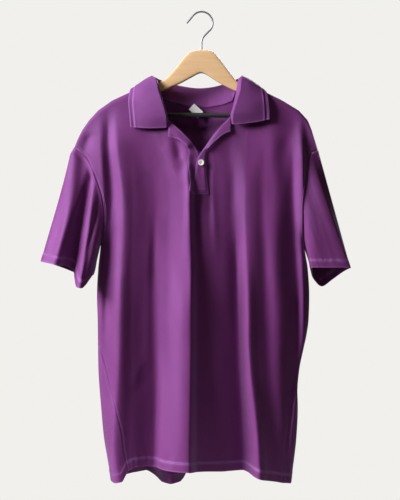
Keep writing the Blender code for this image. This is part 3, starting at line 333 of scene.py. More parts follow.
# Small creases of the front: where each starts and ends, its half width and
# how far it stands out (or in, below zero).
FRONT_CREASES = (
    ("by the tip, wearer's right", (-211, -225), (-203, -420), 7, 1.6),
    ("drag from the tip", (-196, -230), (-172, -470), 9, -1.8),
    ("long drag from the tip", (-182, -240), (-150, -560), 10, 1.4),
    ("under the leaf", (-150, -262), (-112, -420), 14, -1.2),
    ("by the placket, ridge", (-33, -345), (-24, -560), 6, 2.6),
    ("by the placket, groove", (-17, -330), (-14, -520), 5, -2.2),
    ("from the leaf to the placket", (-62, -275), (-28, -350), 9, -2.4),
    ("above it", (-84, -280), (-36, -372), 12, 1.8),
    ("right of the placket, groove", (16, -300), (19, -450), 5, -1.6),
    ("right of the placket, ridge", (24, -330), (27, -520), 5, 1.8),
    ("chest, right", (64, -330), (72, -600), 8, -1.2),
    ("chest, far right", (101, -320), (118, -620), 9, 1.3),
    ("chest, outermost", (140, -330), (141, -640), 9, 1.4),
    ("drag to the far tip", (170, -260), (150, -430), 12, -1.6),
    ("drag to the far tip, ridge", (188, -250), (176, -480), 8, 1.5),
    ("below the far tip", (196, -240), (196, -420), 6, 1.2),
    ("waist, slight", (-95, -560), (-84, -820), 12, 1.1),
    ("waist, slight, left", (-128, -600), (-118, -850), 10, -1.2),
    ("great ridge, upper crest", (-23, -370), (-19, -650), 7, 4.5),
    ("great ridge, top", (-27, -318), (-23, -410), 6, 5.5),
    ("beside the placket", (-62, -262), (-40, -316), 6, -3.0),
    ("dip by the side", (-203, -480), (-205, -900), 8, -6.0),
    ("first trough, foot", (-98, -430), (-100, -960), 7, -3.0),
    ("middle trough, foot", (76, -440), (85, -960), 10, -4.5),
    ("by the tip", (-241, -255), (-237, -335), 9, -4.0),
    ("great ridge, face", (-62, -520), (-60, -930), 9, -1.2),
    ("great ridge, second", (-44, -560), (-40, -900), 7, 1.0),
    ("floor, left", (10, -520), (26, -940), 10, 1.3),
    ("floor, right", (48, -600), (60, -930), 9, -1.1),
    ("second ridge, face", (104, -700), (112, -960), 6, -0.9),
    ("second ridge, tail", (128, -640), (146, -900), 8, 1.2),
    ("diagonal by the hip", (-140, -780), (-118, -700), 8, 1.2),
    ("diagonal by the hip, lower", (-146, -830), (-112, -745), 9, -1.0),
    ("side, right", (-196, -560), (-182, -760), 7, 1.2),
    ("side, far", (196, -520), (186, -700), 7, 1.4),
    ("side, far, groove", (207, -560), (199, -690), 5, -1.5),
    ("under the arm", (-204, -470), (-176, -560), 9, -1.6),
    ("under the far arm", (208, -490), (182, -600), 9, -0.8),
    ("hem, first", (-92, -930), (-96, -962), 4, 0.9),
    ("hem, second", (-70, -925), (-68, -962), 3, -0.8),
    ("hem, third", (-58, -930), (-58, -962), 3, 0.8),
    ("hem, fourth", (120, -950), (124, -985), 3, 0.9),
    ("hem, fifth", (140, -955), (141, -988), 3, -0.8),
    ("hem, sixth", (152, -955), (154, -990), 3, 0.8),
)
# The same for the back, where it can't be seen in one view.
BACK_CREASES = (
    ("yoke, left", (-196, -230), (-150, -430), 10, 1.6),
    ("yoke, left, groove", (-176, -226), (-122, -400), 10, -1.4),
    ("yoke, right", (188, -232), (150, -440), 10, 1.6),
    ("yoke, right, groove", (166, -228), (120, -410), 11, -1.5),
    ("below the collar", (-70, -255), (-40, -420), 12, 1.3),
    ("below the collar, right", (62, -255), (36, -430), 12, 1.4),
    ("middle", (2, -300), (-6, -640), 9, 1.6),
    ("middle, groove", (-26, -360), (-34, -700), 8, -1.4),
    ("waist, left", (-140, -520), (-134, -860), 9, 1.4),
    ("waist, right", (128, -500), (118, -880), 9, -1.4),
    ("under the arm", (-204, -470), (-170, -580), 9, -1.8),
    ("under the far arm", (206, -470), (176, -590), 9, -1.8),
    ("hip, left", (-100, -700), (-120, -940), 8, 1.2),
    ("hip, middle", (-4, -700), (6, -950), 8, -1.2),
    ("hip, right", (70, -680), (78, -950), 8, 1.2),
    ("side", (-196, -600), (-182, -820), 7, 1.3),
    ("side, far", (198, -560), (184, -790), 7, 1.4),
    ("hem, left", (-120, -945), (-122, -985), 3, 0.9),
    ("hem, middle", (10, -940), (12, -980), 3, -0.9),
    ("hem, right", (90, -945), (92, -985), 3, 0.9),
)


def smooth(share):
    """Ease from 0 to 1 with no slope at either end."""
    share = np.clip(share, 0.0, 1.0)
    return share * share * (3.0 - 2.0 * share)


def bell(distance, width):
    """Soft bump, 1 at no distance and nearly 0 at twice the width."""
    return np.exp(-((distance / width) ** 2))


def curve_slopes(xs, ys):
    """Slopes of a curve that never overshoots its points."""
    steps = np.diff(xs)
    rises = np.diff(ys) / steps
    slopes = np.zeros_like(ys)
    slopes[0] = rises[0]
    slopes[-1] = rises[-1]
    same = rises[:-1] * rises[1:] > 0.0
    before = 2.0 * steps[1:] + steps[:-1]
    after = steps[1:] + 2.0 * steps[:-1]
    low = np.where(same, rises[:-1], 1.0)
    high = np.where(same, rises[1:], 1.0)
    mean = (before + after) / (before / low + after / high)
    slopes[1:-1] = np.where(same, mean, 0.0)
    return slopes


def curve_through(x, xs, ys):
    """Value at x of the smooth curve through the points xs, ys."""
    xs = np.asarray(xs, float)
    ys = np.asarray(ys, float)
    slopes = curve_slopes(xs, ys)
    x = np.clip(x, xs[0], xs[-1])
    i = np.clip(np.searchsorted(xs, x) - 1, 0, len(xs) - 2)
    step = xs[i + 1] - xs[i]
    t = (x - xs[i]) / step
    value = (2 * t**3 - 3 * t**2 + 1) * ys[i] + (t**3 - 2 * t**2 + t) * step * slopes[i]
    return value + (3 * t**2 - 2 * t**3) * ys[i + 1] + (t**3 - t**2) * step * slopes[i + 1]


def from_table(table, key, column=1):
    """Read a column of a table along its first column, smoothly."""
    rows = np.array(table, float)
    return curve_through(key, rows[:, 0], rows[:, column])


def straight_from(table, key):
    """Read the second column of a table along its first, in straight runs."""
    rows = np.array(table, float)
    return np.interp(key, rows[:, 0], rows[:, 1])


def shoulder_z(x):
    """Height of the shoulder line, straight across the neck opening."""
    return straight_from(SHOULDER_LEFT + SHOULDER_RIGHT, x)


def body_sides(z):
    """Outermost x of the section on each side."""
    return from_table(BODY_SIDES, z, 1), from_table(BODY_SIDES, z, 2)


def fold_map(table):
    """Depth of the big folds over the whole panel."""
    levels = list(FOLD_LEVELS.values())
    made = np.zeros((len(GRID_Z), len(GRID_X)))
    for i, z in enumerate(GRID_Z):
        share = np.interp(z, levels[::-1], [3.0, 2.0, 1.0, 0.0])
        low = min(int(share), 2)
        t = float(smooth(share - low))
        left, right = body_sides(z)
        xs = [left]
        depths = [0.0]
        for row in table:
            (x0, d0), (x1, d1) = row[1 + low], row[2 + low]
            xs.append(x0 + (x1 - x0) * t)
            depths.append(d0 + (d1 - d0) * t)
        xs.append(right)
        depths.append(0.0)
        made[i] = curve_through(GRID_X, xs, depths) * FOLD_RELIEF
    return made


# The cloth's slight unevenness: size of the waves across and down, height.
UNEVENNESS = ((70.0, 150.0, 0.9), (26.0, 70.0, 0.35), (11.0, 17.0, 0.10))
CREASE_BEND = 0.5      # how far a crease wanders, as a share of its width
CREASE_WAVES = 5.0     # turns of that wandering over its length, in radians
CREASE_FLARE = 0.8     # how much wider a crease gets towards its end


def crease_map(creases, seed):
    """Depth of the small creases and of the cloth's slight unevenness."""
    x, z = np.meshgrid(GRID_X, GRID_Z)
    rng = np.random.default_rng(seed)
    made = np.zeros_like(x)
    for _, (x0, z0), (x1, z1), width, depth in creases:
        length = math.hypot(x1 - x0, z1 - z0)
        run = ((x - x0) * (x1 - x0) + (z - z0) * (z1 - z0)) / length**2
        bend = width * CREASE_BEND * np.sin(run * CREASE_WAVES + rng.uniform(0.0, 6.0))
        off = ((x - x0) * (z1 - z0) - (z - z0) * (x1 - x0)) / length + bend
        spread_out = width * (1.0 + CREASE_FLARE * np.clip(run, 0.0, 1.0))
        taper = smooth(run / 0.25 + 0.2) * smooth((1.0 - run) / 0.4 + 0.2)
        made += depth * bell(off, spread_out) * taper
    for size_x, size_z, height in UNEVENNESS:
        made += height * uneven(x, z, size_x, size_z, rng)
    return made


def between(values, i, j, s, t):
    """Mix the four values of a table round a place: s down, t across."""
    low = values[i, j] * (1.0 - t) + values[i, j + 1] * t
    high = values[i + 1, j] * (1.0 - t) + values[i + 1, j + 1] * t
    return low * (1.0 - s) + high * s


def uneven(x, z, size_x, size_z, rng):
    """Smooth random waves of a given size, between about -1 and 1."""
    rows = int((GRID_Z[-1] - GRID_Z[0]) / size_z) + 4
    columns = int((GRID_X[-1] - GRID_X[0]) / size_x) + 4
    values = rng.uniform(-1.0, 1.0, (rows, columns))
    u = (x - GRID_X[0]) / size_x + 1.0
    v = (z - GRID_Z[0]) / size_z + 1.0
    i = v.astype(int)
    j = u.astype(int)
    return between(values, i, j, smooth(v - i), smooth(u - j))


FOLD_MAPS = {False: fold_map(FRONT_FOLDS), True: fold_map(BACK_FOLDS)}
CREASE_MAPS = {False: crease_map(FRONT_CREASES, 11), True: crease_map(BACK_CREASES, 12)}


def read_map(values, x, z):
    """Value of a map at any place, straight between its points."""
    u = np.clip((x - GRID_X[0]) / GRID_STEP, 0.0, len(GRID_X) - 1.001)
    v = np.clip((z - GRID_Z[0]) / GRID_STEP, 0.0, len(GRID_Z) - 1.001)
    i = np.asarray(v).astype(int)
    j = np.asarray(u).astype(int)
    return between(values, i, j, v - i, u - j)


SIDE_POWER = 2.6             # how square the section's sides are
NECK_SWELL_Z = -200.0        # the collar holds the cloth off the wood here
NECK_SWELL_WIDTH = 62.0
NECK_SWELL_HEIGHT = 80.0
NECK_SWELL_DEPTH = {False: 7.0, True: 20.0}   # on the front and on the back
# Drop below the shoulder over which the depth, folds and creases come in.
DEPTH_DROP = 110.0
FOLD_DROP = 90.0
CREASE_DROP = 40.0
SIDE_FADE = 1.7              # how close to the sides folds and creases reach


def body_depth(x, z, back):
    """Distance of the cloth's outer face from the hanger's plane."""
    x = np.asarray(x, float)
    z = np.asarray(z, float)
    left, right = body_sides(z)
    across = (x - (left + right) / 2.0) / ((right - left) / 2.0)
    roundness = np.maximum(0.0, 1.0 - np.abs(across) ** SIDE_POWER) ** (1.0 / SIDE_POWER)
    drop = np.maximum(0.0, shoulder_z(x) - z)
    full = from_table(BODY_DEPTH, z, 2 if back else 1) * roundness
    neck = np.exp(-((x - NECK_MIDDLE_X) / NECK_SWELL_WIDTH) ** 2
                  - ((z - NECK_SWELL_Z) / NECK_SWELL_HEIGHT) ** 2)
    full = full + neck * NECK_SWELL_DEPTH[back]
    over_arm = 1.0 - np.minimum(drop / SHOULDER_ROLL, 1.0)
    roll = SHOULDER_ROLL * np.sqrt(np.maximum(0.0, 1.0 - over_arm**2))
    plain = roll + (full - SHOULDER_ROLL) * smooth(drop / DEPTH_DROP)
    by_side = np.minimum(1.0, SIDE_FADE * roundness)
    fade = smooth(drop / FOLD_DROP) * by_side
    folds = read_map(FOLD_MAPS[back], x, z) * fade
    creases = read_map(CREASE_MAPS[back], x, z) * smooth(drop / CREASE_DROP)
    return plain + folds + creases * by_side


EVENING = 0.25         # how far the columns crowd towards the sides


def around(share):
    """Place across the section for an even step around it, -1 to 1."""
    return (1.0 + EVENING) * share - EVENING * share**5


STEPS = np.linspace(-1.0, 1.0, 801)
AROUND = around(STEPS)


def body_points(steps, z):
    """Points of the closed section. Steps -1 to 1 are the front, left to
    right, and 1 to 3 the back, right to left."""
    steps = np.where(steps > 3.0, steps - 4.0, steps)
    left, right = body_sides(z)
    back = steps > 1.0
    across = around(np.where(back, 2.0 - steps, steps))
    x = (left + right) / 2.0 + across * (right - left) / 2.0
    y = np.where(back, body_depth(x, z, True), -body_depth(x, z, False))
    return np.stack((x, y, z), axis=-1)


def step_at(x, z):
    """Step of the front of the section that lies at x."""
    left, right = body_sides(z)
    across = (x - (left + right) / 2.0) / ((right - left) / 2.0)
    return np.interp(np.clip(across, -1.0, 1.0), AROUND, STEPS)


SIDES = {
    "right": {"sign": -1, "tip": SHOULDER_LEFT[0][1], "hem": FRONT_HEM[0][1],
              "armhole": ARMHOLE_LEFT, "seam": SIDE_SEAM_LEFT},
    "left": {"sign": 1, "tip": SHOULDER_RIGHT[-1][1], "hem": FRONT_HEM[-1][1],
             "armhole": ARMHOLE_RIGHT, "seam": SIDE_SEAM_RIGHT},
}


def side_z(side, row):
    """Height of a row on the armhole and side seam."""
    return side["tip"] + (side["hem"] - side["tip"]) * row


def edge_step(side, row):
    """Step of the armhole or side seam at a row, on the front."""
    z = side_z(side, row)
    if row >= UNDERARM_ROW:
        return float(step_at(straight_from(side["seam"], z), z))
    under = side_z(side, UNDERARM_ROW)
    edge = float(body_sides(under)[0 if side["sign"] < 0 else 1])
    rows = ((under, edge),) + side["armhole"]
    return float(step_at(from_table(rows, z), z))


def fine_rows():
    """Shares of the side's length, close together where the cloth rolls."""
    made = []
    coarse = np.arange(len(ROW_SHARES))
    for i, (low, high) in enumerate(zip(ROW_SHARES[:-1], ROW_SHARES[1:])):
        count = max(2, round((high - low) * PANEL_DROP / ROW_STEP))
        made.extend(curve_through(i + np.arange(count) / count, coarse, ROW_SHARES))
    made.append(1.0)
    return np.array(made)


ROWS = fine_rows()
UNDER = int(np.argmin(abs(ROWS - UNDERARM_ROW)))   # the row at the underarm
ROWS[UNDER] = UNDERARM_ROW
SEAM_CROWDING = 1.45   # how far the fine columns crowd towards the seams
HEM_CORNERS = (-153.0, 171.0)   # x of the front hem's ends


def fine_columns(segments):
    """The gap and the share of it where each fine column lies, with more of
    them by the seams."""
    gaps, shares = [], []
    last = len(segments) - 1
    for gap, count in enumerate(segments):
        steps = np.arange(count * COLUMN_DETAIL) / (count * COLUMN_DETAIL)
        if gap == 0:
            steps = steps**SEAM_CROWDING
        elif gap == last:
            steps = 1.0 - (1.0 - steps)**SEAM_CROWDING
        gaps.extend([gap] * len(steps))
        shares.extend(steps)
    return np.array(gaps + [last]), np.array(shares + [1.0])


def spread(marks, columns):
    """Places between marks for each fine column."""
    marks = np.asarray(marks, float)
    gaps, shares = columns
    return marks[gaps] + (marks[gaps + 1] - marks[gaps]) * shares


def run_lengths(places):
    """Length along a line of points to each of them."""
    steps = np.linalg.norm(np.diff(places, axis=0), axis=1)
    return np.concatenate(([0.0], np.cumsum(steps)))


def read_along(place, lengths, values):
    """Row of values at a length along a line, straight between its points."""
    return np.array([np.interp(place, lengths, column) for column in values.T])


def along(outline, marks, columns, turned=False):
    """Points of an outline for each fine column, crowded towards the side
    neck points; turned counts the columns from the outline's far end."""
    places = np.array(outline, float)
    lengths = run_lengths(places)
    stops = np.interp(marks, places[:, 0], lengths)
    gaps, shares = columns
    if turned:
        gaps, shares = len(marks) - 2 - gaps, 1.0 - shares
    marks = np.asarray(marks, float)
    shares = np.where(marks[gaps] == NECK_LEFT_X, shares**NECK_CROWDING, shares)
    shares = np.where(marks[gaps + 1] == NECK_RIGHT_X,
                      1.0 - (1.0 - shares)**NECK_CROWDING, shares)
    stop = stops[gaps] + (stops[gaps + 1] - stops[gaps]) * shares
    return np.interp(stop, lengths, places[:, 0]), np.interp(stop, lengths, places[:, 1])


def row_heights(row, top_z, hem_z, first, last, share):
    """Height of each column at a row: it follows the top edge, then levels
    out by the underarm and ends on the hem."""
    fade = max(0.0, 1.0 - row / LEVEL_ROW)
    ends = [side_z(SIDES[first], at) * (1.0 - share) + side_z(SIDES[last], at) * share
            for at in (0.0, row, 1.0)]
    return ends[1] + (top_z - ends[0]) * fade + (hem_z - ends[2]) * row**2


def column_share(segments, columns):
    """How far across the panel each fine column is, counted in segments."""
    firsts = np.concatenate(([0], np.cumsum(segments)))
    return spread(firsts, columns) / firsts[-1]


def front_grid():
    """Outer points of the front panel, rows down and columns across."""
    tops = [SHOULDER_LEFT[0][0]]
    tops += [guide[1][0] for guide in FRONT_GUIDES[1:-1]]
    tops.append(SHOULDER_RIGHT[-1][0])
    hems = [guide[1][4] for guide in FRONT_GUIDES[1:-1]]
    hems = [HEM_CORNERS[0]] + hems + [HEM_CORNERS[1]]
    outline = SHOULDER_LEFT[:-1] + NECK_FRONT + SHOULDER_RIGHT[1:]
    columns = fine_columns(FRONT_SEGMENTS)
    share = column_share(FRONT_SEGMENTS, columns)
    top_x, top_z = along(outline, tops, columns)
    hem_z = straight_from(FRONT_HEM, spread(hems, columns))
    marks_at = np.cumsum((0,) + FRONT_SEGMENTS) / sum(FRONT_SEGMENTS)
    grid = []
    for row in ROWS:
        heights = row_heights(row, top_z, hem_z, "right", "left", share)
        marks = [edge_step(SIDES["right"], row)]
        for k, guide in enumerate(FRONT_GUIDES[1:-1], 1):
            z = np.interp(marks_at[k], share, heights)
            marks.append(float(step_at(curve_through(row, GUIDE_ROWS, guide[1]), z)))
        marks.append(edge_step(SIDES["left"], row))
        steps = spread(marks, columns)
        if row == 0.0:
            extra = step_at(top_x, top_z) - steps
        steps += extra * (1.0 - smooth(row / EVEN_ROW))
        grid.append(body_points(steps, heights))
    return np.array(grid)


def back_grid():
    """Outer points of the back panel, from the wearer's left to the right."""
    tops = [SHOULDER_LEFT[0][0]]
    tops += [guide[1] for guide in BACK_GUIDES[-2:0:-1]]
    tops.append(SHOULDER_RIGHT[-1][0])
    columns = fine_columns(BACK_SEGMENTS)
    share = column_share(BACK_SEGMENTS, columns)
    outline = SHOULDER_LEFT[:-1] + NECK_BACK + SHOULDER_RIGHT[1:]
    top_x, top_z = along(outline, tops, columns, turned=True)
    hem_z = straight_from(BACK_HEM, spread([guide[3] for guide in BACK_GUIDES], columns))
    marks_at = np.cumsum((0,) + BACK_SEGMENTS) / sum(BACK_SEGMENTS)
    grid = []
    for row in ROWS:
        start = edge_step(SIDES["left"], row)
        end = edge_step(SIDES["right"], row)
        start = 2.0 - start if row < UNDERARM_ROW else start
        end = 2.0 - end if row < UNDERARM_ROW else end + 4.0
        heights = row_heights(row, top_z, hem_z, "left", "right", share)
        blend = float(smooth(row / UNDERARM_ROW))
        marks = [start]
        for k, (_, x, lower_x, part) in enumerate(BACK_GUIDES[1:-1], 1):
            z = np.interp(marks_at[k], share, heights)
            high = 2.0 - float(step_at(np.interp(row, GUIDE_ROWS[:2], (x, lower_x)), z))
            marks.append(high + (start + (end - start) * part - high) * blend)
        marks.append(end)
        steps = spread(marks, columns)
        if row == 0.0:
            extra = 2.0 - step_at(top_x, top_z) - steps
        steps += extra * (1.0 - smooth(row / EVEN_ROW))
        grid.append(body_points(steps, heights))
    return np.array(grid)


SLEEVE_RING_STEPS = 76
RING_CROWDING = 0.35   # how far the rings crowd towards the armhole
SLEEVE_EDGE = {"sleeve_right": 0.0, "sleeve_left": 7.0}   # fullness by the outer edge
EDGE_TOP = 0.06        # where it is fullest, as a share of the armhole
EDGE_FALL = 0.34       # share over which it falls off
# Small creases of the sleeves: where each starts and ends as a share of the
# length, its place round the loop at the armhole and at the hem (0 to 1 is the
# front, 1 to 2 the back), half width as a share, and height.
SLEEVE_CREASES = {
    "sleeve_right": (
        (0.0, 1.1, 0.02, 0.25, 0.05, 3.0), (0.0, 1.1, 0.24, 0.46, 0.05, -4.0),
        (-0.2, 0.7, 0.22, 0.36, 0.07, -5.0), (-0.2, 0.6, 0.0, 0.14, 0.05, 3.0),
        (0.1, 1.1, 0.40, 0.62, 0.04, 1.5), (0.0, 0.8, 0.62, 0.90, 0.06, -0.6),
        (0.0, 0.5, 0.80, 0.92, 0.05, -1.0), (0.1, 0.9, 1.30, 1.25, 0.06, 1.6),
        (0.1, 0.9, 1.60, 1.66, 0.05, -1.6),
    ),
    "sleeve_left": (
        (0.5, 1.0, 0.30, 0.36, 0.06, 0.5), (0.2, 0.8, 0.66, 0.60, 0.08, 0.8),
        (0.1, 0.9, 1.28, 1.24, 0.06, 1.6), (0.1, 0.9, 1.62, 1.64, 0.05, -1.6),
    ),
}


def sleeve_fold(name, shares, at):
    """How far a sleeve's long folds stand out, faded in from the armhole."""
    depth = 0.0
    for top, low, width, height in SLEEVE_FOLDS[name]:
        centre = top + (low - top) * at
        depth = depth + height * bell(shares - centre, width)
    return depth * smooth(at / 0.3) * smooth((1.0 - shares) / 0.15)


def sleeve_grid(name, front, back, hem_front, hem_back):
    """Rings of a sleeve from the armhole loop to its hem. front and back are
    the panels' armhole edges from the shoulder to the underarm."""
    shares = (front[0, 2] - front[:, 2]) / (front[0, 2] - front[-1, 2])
    hems = [np.stack([from_table(table, shares, c) for c in (1, 2, 3)], axis=-1)
            for table in (hem_front, hem_back)]
    rings = []
    for ring in range(SLEEVE_RING_STEPS + 1):
        at = ring / SLEEVE_RING_STEPS
        at = RING_CROWDING * at * at + (1.0 - RING_CROWDING) * at
        swell = SLEEVE_ROUNDNESS * math.sin(math.pi * at) * np.sin(math.pi * shares)
        near = front + (hems[0] - front) * at
        far = back + (hems[1] - back) * at
        edge = smooth(shares / EDGE_TOP) * (1.0 - smooth((shares - EDGE_TOP) / EDGE_FALL))
        edge = edge * SLEEVE_EDGE[name] * max(0.0, math.sin(math.pi * at)) ** 0.7
        near[:, 1] -= swell + edge + sleeve_fold(name, shares, at)
        far[:, 1] += swell
        rings.append(np.vstack((near, far[-2:0:-1])))
    grid = np.array(rings)
    loop = np.concatenate((shares, 2.0 - shares[-2:0:-1]))
    normals = grid_normals(grid, True) * (-1.0 if name == "sleeve_left" else 1.0)
    run = np.linspace(0.0, 1.0, len(grid))[:, None]
    height = np.zeros(grid.shape[:2])
    for first, last, top, low, width, depth in SLEEVE_CREASES[name]:
        centre = top + (low - top) * run
        off = np.minimum(abs(loop - centre), 2.0 - abs(loop - centre))
        taper = smooth((run - first) / 0.2 + 0.3) * smooth((last - run) / 0.25 + 0.4)
        height += depth * bell(off, width) * taper
    fade = smooth(run / 0.12)
    return grid + normals * (height * fade)[:, :, None]


# ------------------------------------------------------------- collar, plackets
def clear_of_body(points, lift):
    """Move points out until each is the lift off the shirt's body."""
    x, y, z = points[..., 0], points[..., 1], points[..., 2]
    lowered = z - lift
    back = y > 0.0
    depth = np.where(back, body_depth(x, lowered, True), body_depth(x, lowered, False)) + lift
    held = (lowered >= shoulder_z(x)) | (abs(y) >= depth)
    made = points.copy()
    made[..., 1] = np.where(held, y, np.where(back, depth, -depth))
    return made


def spline(rows, count):
    """Smooth curve through rows of numbers, with count steps in each gap."""
    rows = np.array(rows, float)
    ends = np.vstack([2 * rows[0] - rows[1], rows, 2 * rows[-1] - rows[-2]])
    made = []
    for i in range(len(rows) - 1):
        a, b, c, d = ends[i:i + 4]
        for k in range(count):
            t = k / count
            made.append(0.5 * (2 * b + (c - a) * t + (2 * a - 5 * b + 4 * c - d) * t**2
                               + (3 * b - a - 3 * c + d) * t**3))
    made.append(rows[-1])
    return np.array(made)


# Steps up the stand, round its fold and down the leaf.
STAND_STEPS = 12
ROLL_STEPS = 12
LEAF_STEPS = 44
LEAF_BULGE = 2.5       # how far the leaf bows out in its middle


def collar_section(seam, fold, edge):
    """Points from the seam up the stand, round the fold and down the leaf."""
    rise = fold - seam
    up = rise / np.linalg.norm(rise)
    fall = edge - fold
    out = fall - up * float(fall @ up)
    out = out / np.linalg.norm(out)
    turn = math.acos(np.clip(float(fall @ up) / np.linalg.norm(fall), -1.0, 1.0))
    centre = fold - up * COLLAR_ROLL
    start = centre - out * COLLAR_ROLL
    points = [seam + (start - seam) * share
              for share in np.linspace(0.0, 1.0, STAND_STEPS + 1)[:-1]]
    for angle in np.linspace(0.0, turn, ROLL_STEPS + 1):
        points.append(centre - out * COLLAR_ROLL * math.cos(angle)
                      + up * COLLAR_ROLL * math.sin(angle))
    last = points[-1]
    normal = np.cross(fall, np.cross(up, out))
    normal = normal / np.linalg.norm(normal)
    if float(normal @ up) < 0.0:
        normal = -normal
    for share in np.linspace(0.0, 1.0, LEAF_STEPS + 1)[1:]:
        bulge = LEAF_BULGE * math.sin(math.pi * share)
        points.append(last + (edge - last) * share + normal * bulge)
    return np.array(points)


def neck_point(x, back):
    """Point of the neckline at x, on the front or the back."""
    z = straight_from(NECK_BACK if back else NECK_FRONT, x)
    y = body_depth(x, z, back)
    return np.array((x, y if back else -y, z))


NECK_FRONT_POINTS = 60     # points of the neck seam on each side of the front
NECK_BACK_POINTS = 300


def neck_path():
    """Close points along the neck seam, round the back from end to end."""
    first, last = COLLAR_STATIONS[0][2], COLLAR_STATIONS[-1][2]
    stretches = ((first, NECK_LEFT_X, NECK_FRONT_POINTS, False),
                 (NECK_LEFT_X, NECK_RIGHT_X, NECK_BACK_POINTS, True),
                 (NECK_RIGHT_X, last, NECK_FRONT_POINTS, False))
    path = [neck_point(x, back) for start, end, count, back in stretches
            for x in np.linspace(start, end, count)]
    return np.array(path)


def neck_inward(path, i):
    """Way from the neck seam into the opening, strongest where it is steep."""
    run = path[min(i + 1, len(path) - 1)] - path[max(i - 1, 0)]
    steep = abs(run[2]) / math.hypot(run[0], run[2])
    return np.array((-math.copysign(steep, path[i][0] - NECK_MIDDLE_X), 0.0, 0.0))


COLLAR_DETAIL = 14     # fine rows for each station of the collar
FRONT_ONLY = 1.5       # the stand is kept clear where it lies this far in front
FRONT_FADE = 3.0       # of the arm's roll, faded in over this depth


def collar_grid():
    """Rows along the neck seam, columns from the seam to the outer edge."""
    path = neck_path()
    lengths = run_lengths(path)
    rows = []
    for _, face, x, fold, edge in COLLAR_STATIONS:
        at = neck_point(x, face == "back")
        place = lengths[np.argmin(np.linalg.norm(path - at, axis=1))]
        rows.append((place,) + fold + edge)
    inward = np.array([neck_inward(path, i) for i in range(len(path))])
    grid = []
    lift = COLLAR_CLOTH + COLLAR_LIFT
    for row in spline(rows, COLLAR_DETAIL):
        seam = read_along(row[0], lengths, path)
        seam += read_along(row[0], lengths, inward) * COLLAR_INSET
        fold, edge = row[1:4], row[4:7]
        way = (fold - seam) / np.linalg.norm(fold - seam)
        points = collar_section(seam + way * COLLAR_LIFT, fold, edge)
        top = STAND_STEPS + 1
        stand = points[:top]
        cleared = clear_of_body(stand, lift)
        share = float(smooth((-seam[1] - SHOULDER_ROLL + FRONT_ONLY) / FRONT_FADE))
        points[:top] = stand + (cleared - stand) * share
        points[top:] = clear_of_body(points[top:], lift)
        grid.append(points)
    return np.array(grid)


PLACKET_DETAIL = 14    # fine rows for each row of the placket tables
PLACKET_SINK = 1.5     # how far the over placket's sewn edges sink
PLACKET_COLUMNS = 26
PLACKET_TURN = 6.0     # the row of the tables from which the laps are turned out
PLACKET_SIDE = 0.25    # share of the width that sinks towards the sewn side
PLACKET_FOOT = 7.0     # height over which the foot sinks
TURN_RISE = 3.4        # how much more the turned-out lap stands off at one edge
OVER_TURN = -0.6       # the least that it stands off, on the over placket
UNDER_TURN = 2.0       # the most, on the under placket
PLACKET_STITCH = 2.4   # from its edges to its stitches


def placket_grid(table, lifts):
    """Strip that lies on the front panel, its rows up the placket."""
    rows = spline(table, PLACKET_DETAIL)
    stations = np.arange(len(rows)) / PLACKET_DETAIL
    turned = smooth(stations - PLACKET_TURN + 1.0)[:, None]
    lift = lifts[0] + (lifts[1] - lifts[0]) * turned
    share = np.linspace(0.0, 1.0, PLACKET_COLUMNS)[None, :]
    side = smooth((share - 1.0 + PLACKET_SIDE) / PLACKET_SIDE) * (1.0 - turned)
    foot = smooth(1.0 - (rows[:, 1:2] - rows[0, 1]) / PLACKET_FOOT)
    if lifts == OVER_LIFT:
        lift = lift - PLACKET_SINK * np.maximum(side, foot) + turned * (TURN_RISE * share + OVER_TURN)
    else:
        lift = lift + turned * (UNDER_TURN - TURN_RISE * share)
    x = rows[:, 0:1] + (rows[:, 2:3] - rows[:, 0:1]) * share
    z = rows[:, 1:2] + (rows[:, 3:4] - rows[:, 1:2]) * share
    return np.stack((x, -body_depth(x, z, False) - lift, z), axis=-1)


# --------------------------------------------------------------- wall builders
def grid_normals(grid, closed):
    """Normal of each grid point before its seams are matched."""
    across = np.zeros_like(grid)
    if closed:
        across = np.roll(grid, -1, axis=1) - np.roll(grid, 1, axis=1)
    else:
        across[:, 1:-1] = grid[:, 2:] - grid[:, :-2]
        across[:, 0] = grid[:, 1] - grid[:, 0]
        across[:, -1] = grid[:, -1] - grid[:, -2]
    down = np.zeros_like(grid)
    down[1:-1] = grid[2:] - grid[:-2]
    down[0] = grid[1] - grid[0]
    down[-1] = grid[-1] - grid[-2]
    normals = np.cross(down, across)
    lengths = np.linalg.norm(normals, axis=2, keepdims=True)
    return normals / np.maximum(lengths, 1e-9)


def lengths_along(grid, axis):
    """Length of the cloth from the first point of each row or column."""
    steps = np.linalg.norm(np.diff(grid, axis=axis), axis=2)
    start = np.zeros_like(steps[:1] if axis == 0 else steps[:, :1])
    return np.concatenate((start, np.cumsum(steps, axis=axis)), axis=axis)


def wall_faces(rows, columns, closed):
    """Faces of a wall over a grid: its outer and inner side and its rims."""
    count = rows * columns
    spans = columns if closed else columns - 1
    i, j = np.meshgrid(np.arange(rows - 1), np.arange(spans), indexing="ij")
    k = (j + 1) % columns
    quads = np.stack((i * columns + j, (i + 1) * columns + j,
                      (i + 1) * columns + k, i * columns + k), axis=-1).reshape(-1, 4)
    faces = [quads, quads[:, ::-1] + count]
    j = np.arange(spans)
    edges = [(r * columns + j, r * columns + (j + 1) % columns, r > 0) for r in (0, rows - 1)]
    if not closed:
        i = np.arange(rows - 1)
        edges += [(i * columns + c, (i + 1) * columns + c, c == 0) for c in (0, columns - 1)]
    for a, b, turned in edges:
        rim = np.stack((a, b, b + count, a + count), axis=-1)
        faces.append(rim[:, ::-1] if turned else rim)
    return np.vstack(faces)


def new_object(name, data):
    """Put data into the scene as an object of its name."""
    obj = bpy.data.objects.new(name, data)
    bpy.context.scene.collection.objects.link(obj)
    return obj


SHARP_EDGE = 62        # degrees; a wall's own edges are shaded sharp


